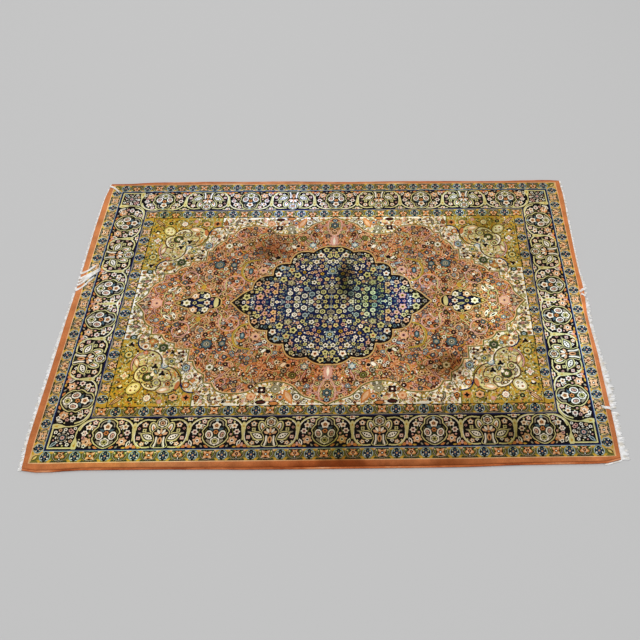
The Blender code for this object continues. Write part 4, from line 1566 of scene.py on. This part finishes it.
def woollen(name):
    # fulled wool wound over warps: darker in the hollows between the turns with painted shade, rubbed pale
    # where it stands out
    made, tree, shader = newMaterial(name)
    place = addNode(tree, "TexCoord").outputs["Object"]
    stretched = addNode(tree, "VectorMath", {"operation": "MULTIPLY"}, {0: place, 1: (1.0, 3.0, 3.0)})
    scale = 1000 / cord["worn patch"]
    clouds = {"Vector": stretched.outputs[0], "Scale": scale, "Detail": 5.0, "Roughness": 0.7}
    patchy = addNode(tree, "TexNoise", {}, clouds)
    ramp = addNode(tree, "ValToRGB", {}, {0: patchy.outputs[0]})
    stops = ramp.color_ramp.elements
    stops[0].position, stops[0].color = 0.36, linear(cord["dark colour"])
    stops[1].position, stops[1].color = 0.66, linear(cord["worn colour"])
    middle = stops.new(0.5)
    middle.color = linear(cord["colour"])
    scale = 1000 / cord["fibre"]
    fibres = addNode(tree, "TexNoise", {}, {"Vector": place, "Scale": scale, "Detail": 2.0})
    colour = shaded(tree, ramp.outputs[0], cord["fibre change"], fibres.outputs[0])
    # painted shade in the hollows between the turns, and wear on their tops
    turns = addNode(tree, "Attribute", {"attribute_name": "turn"})
    colour = shaded(tree, colour, cord["turn shade and wear"], turns.outputs["Fac"])
    depth = cord["fibre depth"] / 1000
    relief = {"Strength": cord["fibre strength"], "Distance": depth, "Height": fibres.outputs[0]}
    bump = addNode(tree, "Bump", {}, relief)
    finished(tree, shader, colour, bump, cord)
    return made


def cottony(name):
    # plied cotton warp, soft and a little grey with dust
    made, tree, shader = newMaterial(name)
    place = addNode(tree, "TexCoord").outputs["Object"]
    dust = addNode(tree, "TexNoise", {}, {"Vector": place, "Scale": 1000 / fringe["dust"], "Detail": 4.0})
    ramp = addNode(tree, "ValToRGB", {}, {0: dust.outputs[0]})
    stops = ramp.color_ramp.elements
    stops[0].position, stops[0].color = 0.34, linear(fringe["shade"])
    stops[1].position, stops[1].color = 0.56, linear(fringe["colour"])
    scale = 1000 / fringe["fibre"]
    fibres = addNode(tree, "TexNoise", {}, {"Vector": place, "Scale": scale, "Detail": 1.0})
    depth = fringe["fibre depth"] / 1000
    relief = {"Strength": fringe["fibre strength"], "Distance": depth, "Height": fibres.outputs[0]}
    bump = addNode(tree, "Bump", {}, relief)
    finished(tree, shader, ramp.outputs[0], bump, fringe)
    return made


def tubeFaces(first, count, sides):
    # the faces between rings of this many sides, the first ring starting at this point
    start = first + np.arange(count - 1)[:, None] * sides
    corner = np.arange(sides)[None, :]
    after = (corner + 1) % sides
    faces = np.stack([start + corner, start + after, start + sides + after, start + sides + corner], -1)
    faces = faces.reshape(-1, 4).tolist()
    faces.append([first + k for k in range(sides - 1, -1, -1)])
    faces.append([first + (count - 1) * sides + k for k in range(sides)])
    return faces


def sideCord(name, side, surface):
    # wool wound round the edge warps in slanting turns
    sides = cord["sides"]
    count = int(rug["length"] / cord["step"])
    u = np.linspace(0, 1, count + 1)
    vRow = 0 if side < 0 else 1
    left, right = endX(-1, vRow), endX(1, vRow)
    x = left + (right - left) * u
    outer = np.array([edgeY(side, place) for place in u])
    centre = outer - side * rug["side cord width"] / 2
    angles = 2 * np.pi * (np.arange(sides) + 0.5) / sides
    # the turns aren't equally wide, and the cord swells and thins
    along = x[:, None] + cord["wrap slant"] * cord["wrap"] * np.sin(angles)[None, :]
    uneven = 0.6 * np.sin(along * 97) + 0.4 * np.sin(along * 233 + 1)
    turn = np.abs(np.sin(np.pi * along / cord["wrap"] + uneven))
    swell = 1 + 0.05 * np.sin(x * 61)[:, None] + 0.035 * np.sin(x * 173 + 2)[:, None]
    tall = rug["side cord height"] / 2 * swell * cord["core"] + cord["wrap depth"] * (turn - 1)
    wide = rug["side cord width"] / 2 * cord["core"] + cord["wrap depth"] * (turn - 1)
    # as high as the solid cord, which has eight sides and lies on one of them
    middle = rug["side cord height"] / 2 * math.cos(math.pi / 8)
    y = centre[:, None] + wide * np.sin(angles)[None, :]
    z = np.maximum(middle + tall * np.cos(angles)[None, :], 0)
    points = np.stack([np.broadcast_to(x[:, None], y.shape), y, z], -1) + shift
    mesh = bpy.data.meshes.new(name)
    mesh.from_pydata(points.reshape(-1, 3).tolist(), [], tubeFaces(0, count + 1, sides))
    layer = mesh.attributes.new("turn", "FLOAT", "POINT")
    layer.data.foreach_set("value", turn.astype(np.float32).ravel())
    # the baked picture: the cord cut into rows that lie one over the other, and the caps in the margin
    rowCount = cord["rows"]
    run = np.arange(count)[:, None] * rowCount / count
    row = np.floor(run)
    corner = np.arange(sides)[None, :]
    starts, ends = run - row, run - row + rowCount / count
    onRow = np.stack([starts, starts, ends, ends], -1) + 0 * corner[..., None]
    roundIt = np.stack([corner, corner + 1, corner + 1, corner], -1) / sides + 0 * run[..., None]
    flat = np.stack([0.01 + 0.98 * onRow, (row[..., None] + 0.04 + 0.92 * roundIt) / rowCount], -1)
    addLayout(mesh, "OFBake", np.vstack([flat.reshape(-1, 2), np.tile((0.005, 0.005), (2 * sides, 1))]))
    mesh.shade_smooth()
    return newObject(name, mesh, surface)


def tube(gathered, path, radii, sides, across=(0, 1, 0)):
    # a closed tube along a path, gathered with others into one mesh
    path = np.array(path, float)
    radii = np.array(radii, float)[:, None, None]
    ahead = np.gradient(path, axis=0)
    above = np.cross(ahead, across)
    above = above / np.linalg.norm(above, axis=1)[:, None]
    level = np.cross(above, ahead)
    level = level / np.linalg.norm(level, axis=1)[:, None]
    angles = 2 * np.pi * np.arange(sides) / sides
    ring = np.cos(angles)[None, :, None] * level[:, None] + np.sin(angles)[None, :, None] * above[:, None]
    first = sum(len(points) for points, _ in gathered)
    gathered.append(((path[:, None] + radii * ring).reshape(-1, 3), tubeFaces(first, len(path), sides)))


def strandYarns(gathered, chance, middle, widths, heights, across=(0, 1, 0)):
    # the yarns of a loose strand, twisted round each other and fraying towards the tip, and a few hairs
    middle = np.array(middle, float)
    share = np.linspace(0, 1, len(middle))
    if across == (0, 0, 1):
        sideways = np.cross(np.gradient(middle, axis=0), (0, 0, 1))
    else:
        sideways = np.tile((0.0, 1.0, 0.0), (len(middle), 1))
    sideways = sideways / np.linalg.norm(sideways, axis=1)[:, None]
    count = fringe["loose yarns"]
    fray = fringe["loose fray"]
    for yarn in range(count + fringe["hairs"]):
        hair = yarn >= count
        radius = fringe["hair radius" if hair else "yarn radius"]
        turn = 2 * math.pi * yarn / count + 2.6 * share + chance.uniform(-0.4, 0.4)
        spread = (widths / 2 - radius) * (1.15 if hair else 1.0)
        aside = spread * np.cos(turn) + share * chance.uniform(-fray, fray)
        place = middle + sideways * aside[:, None]
        lift = np.clip(heights / 2 - radius, 0, None) * (1 + 0.8 * np.sin(turn))
        place[:, 2] += radius + lift
        # a few yarns are shorter than the strand
        kept = chance.uniform(0.72, 1.0) if not hair else chance.uniform(0.85, 1.12)
        if kept < 1:
            place = middle[0] + (place - middle[0]) * np.array([kept, kept, 1.0])
        thin = radius * (1 - 0.35 * share)
        tube(gathered, place, thin, 3 if hair else 6, across)


def warpEnds(gathered, chance, middle, pitch):
    # the yarns between one strand's middle and the next's, drawn in towards the strand at their tips
    middle = np.array(middle, float)
    share = np.linspace(0, 1, len(middle))
    count = fringe["yarns"]
    for yarn in range(count):
        across = ((yarn + 0.5) / count - 0.5) * pitch * (1.04 - 0.26 * share ** 1.5)
        place = middle.copy()
        kept = chance.uniform(0.8, 1.06)
        place[:, 0] = middle[0, 0] + (middle[:, 0] - middle[0, 0]) * kept
        place[:, 1] += across + share * chance.uniform(-fringe["fray"], fringe["fray"])
        layer = 0.0004 + 0.0011 * (yarn % 2) + 0.0004 * np.sin(5 * share + chance.uniform(0, 6))
        place[:, 2] += fringe["yarn radius"] + layer * (1 - 0.6 * share)
        tube(gathered, place, fringe["yarn radius"] * (1 - 0.3 * share ** 2), 5)


def scattered(number, seed):
    # a fixed number from -1 to 1 for each strand, as the solids have it
    return math.sin(number * 12.9898 + seed * 78.233) * math.cos(number * 4.1414 + seed)


def fringeEnd(name, side, surface):
    # warp ends beside the pile's end: a band of twined cotton, and strands that leave it
    chance = np.random.default_rng(fringe["seed"] + side)
    gathered = []
    u = 0 if side < 0 else 1
    front, back = edgeY(-1, u), edgeY(1, u)
    strip = fringe["strip"]

    def inner(y):
        return endX(side, (y - front) / (back - front)) + side * rug["gap"]

    # two cords twined round each other along the cloth's end
    count = int((back - front) / fringe["twine step"])
    ys = np.linspace(front + 0.0008, back - 0.0008, count)
    ends = np.array([inner(y) for y in ys])
    swing = fringe["twine swing"]
    for cordNumber in range(2):
        turn = 2 * np.pi * ys / fringe["twine turn"] + math.pi * cordNumber
        xs = ends + side * (strip / 2 + swing * np.cos(turn))
        path = np.stack([xs, ys, strip / 2 + swing * np.sin(turn)], -1)
        tube(gathered, path, np.full(count, fringe["twine radius"]), 6, (0, 0, 1))
    loose = {}
    for end, root, reach, drift in looseStrands:
        if end == side:
            loose[int(root * fringe["strands"])] = (reach, drift)
    pitch = (back - front) / fringe["strands"]
    for number in range(fringe["strands"]):
        y = front + pitch * (number + 0.5)
        edge = inner(y) + side * strip * 0.6
        if number in loose:
            # up over the rim and back across the pile
            reach, drift = loose[number]
            rest = rug["pile top"] + 0.0006
            share = np.linspace(0, 1, 22)
            bowed = share ** 1.25
            risen = [
                (edge + side * 0.0012, y, 0.0016),
                (edge + side * 0.002, y, 0.005),
                (edge + side * 0.0008, y + drift * 0.02, 0.0082),
            ]
            backX = edge - side * (0.0036 + reach * share)
            sidewaysY = y + drift * bowed + 0.003 * np.sin(5 * share + number)
            middle = np.vstack([risen, np.stack([backX, sidewaysY, rest + 0 * share], -1)])
            # a strand is narrow at its root and spreads on the pile
            spread = np.interp(np.arange(len(middle)), (0, 4, len(middle) - 1), fringe["loose widths"])
            strandYarns(gathered, chance, middle, spread, np.full(len(middle), fringe["loose height"]))
            continue
        length = eased(fringeLengths, 1 if side < 0 else 2, (number + 0.5) / fringe["strands"])
        length = length * (1 + 0.25 * scattered(number, 1)) + strip * 0.4
        share = np.linspace(0, 1, 9)
        lean = fringe["drift"] * scattered(number, 3)
        aside = y + lean * share + 0.0009 * np.sin(4 * share + number)
        path = np.stack([edge + side * length * share, aside, 0 * share], -1)
        warpEnds(gathered, chance, path, pitch)
    if side > 0:
        # the strand bent round the worn corner, along the front cord
        left, right = endX(-1, 0), endX(1, 0)
        share = np.linspace(0, 1, 24)
        edge = inner(front) + strip / 2
        turnAt = 0.1
        backX = edge - fringe["bent reach"] * np.clip((share - turnAt) / (1 - turnAt), 0, 1)
        besideCord = np.array([edgeY(-1, (x - left) / (right - left)) for x in backX]) - fringe["bent aside"]
        y = np.where(share < turnAt, front + (besideCord - front) * share / turnAt, besideCord)
        bowedX = backX + 0.0014 * np.sin(np.pi * np.clip(share / turnAt, 0, 1))
        path = np.stack([bowedX, y, 0 * share], -1)
        heights = fringe["loose height"] - 0.001 * share
        strandYarns(gathered, chance, path, 0.0050 - 0.0016 * share, heights, (0, 0, 1))
    mesh = bpy.data.meshes.new(name)
    points = np.vstack([part for part, _ in gathered]) + shift
    points[:, 2] = np.maximum(points[:, 2], 0)
    mesh.from_pydata(points.tolist(), [], [face for _, faces in gathered for face in faces])
    mesh.shade_smooth()
    return newObject(name, mesh, surface)


print("cords and fringes: winding and laying the strands")
cordWool = woollen("overcast selvedge wool")
warpCotton = cottony("cotton warp ends")
for name, maker, side, surface in (
    ("selvedge_front", sideCord, -1, cordWool),
    ("selvedge_back", sideCord, 1, cordWool),
    ("fringe_left", fringeEnd, -1, warpCotton),
    ("fringe_right", fringeEnd, 1, warpCotton),
):
    piece = maker("dressed_" + name, side, surface)
    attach(piece, "root")
    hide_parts(name)

# camera, light and floor

view = {
    # from the middle of the rug, in metres, and angles in degrees
    "place": (0.2461, -1.9797, 2.4511),
    "down": 52.266,
    "turn": -1.232,
    "roll": 0.431,
    # in pixels of the picture
    "picture": 640,
    "focal length": 766.4,
    "middle of the lens": 400.0,
    # in millimetres
    "film": 36,
}
studio = {
    # each light: its name, its place and its size in metres, and its power in watts
    "lights": (
        ("soft box above", (0, -0.6, 9), (10, 10), 500),
        ("soft box behind", (-2.5, 8.0, 5.5), (6, 4), 130),
    ),
    "sky": 0.46,
    "floor reach": 30,
    "floor level": -0.0006,
    "floor colour": "#c6c6c6",
    "floor roughness": 0.9,
}


def addCamera():
    down, turn, roll = [math.radians(view[name]) for name in ("down", "turn", "roll")]
    right = np.array((math.cos(turn), math.sin(turn), 0))
    ahead = np.array((-math.sin(turn) * math.cos(down), math.cos(turn) * math.cos(down), -math.sin(down)))
    above = np.array((-math.sin(turn) * math.sin(down), math.cos(turn) * math.sin(down), math.cos(down)))
    across = math.cos(roll) * right + math.sin(roll) * above
    upward = -math.sin(roll) * right + math.cos(roll) * above
    data = bpy.data.cameras.new("camera")
    data.sensor_width = view["film"]
    data.lens = view["focal length"] / view["picture"] * view["film"]
    data.shift_x = (view["picture"] / 2 - view["middle of the lens"]) / view["picture"]
    data.clip_end = 100
    made = bpy.data.objects.new("camera", data)
    axes = [[across[k], upward[k], -ahead[k], view["place"][k] + shift[k]] for k in range(3)]
    made.matrix_world = Matrix(axes + [[0, 0, 0, 1]])
    bpy.context.scene.collection.objects.link(made)
    bpy.context.scene.camera = made


def addLight(name, place, size, power):
    # a rectangle of light that faces the middle of the rug
    data = bpy.data.lights.new(name, "AREA")
    data.shape = "RECTANGLE"
    data.size, data.size_y = size
    data.energy = power
    made = bpy.data.objects.new(name, data)
    made.location = place
    x, y, z = place
    made.rotation_euler = (math.atan2(math.hypot(x, y), z), 0, math.atan2(x, -y))
    bpy.context.scene.collection.objects.link(made)


def addFloor():
    # a seamless sheet of pale paper
    reach, level = studio["floor reach"], studio["floor level"]
    corners = [(x * reach, y * reach, level) for x, y in ((-1, -1), (1, -1), (1, 1), (-1, 1))]
    mesh = bpy.data.meshes.new("floor")
    mesh.from_pydata(corners, [], [(0, 1, 2, 3)])
    paper, _, shader = newMaterial("pale grey paper")
    shader.inputs["Base Color"].default_value = linear(studio["floor colour"])
    shader.inputs["Roughness"].default_value = studio["floor roughness"]
    return newObject("floor", mesh, paper)


def addSky():
    # even light from all round, as in a photo studio
    world = bpy.data.worlds.new("studio")
    world.use_nodes = True
    background = world.node_tree.nodes["Background"]
    background.inputs[0].default_value = (1, 1, 1, 1)
    background.inputs[1].default_value = studio["sky"]
    bpy.context.scene.world = world


print("camera, lights and floor")
addCamera()
for light in studio["lights"]:
    addLight(*light)
floorObject = addFloor()
addSky()
bpy.context.scene.view_settings.view_transform = "Standard"
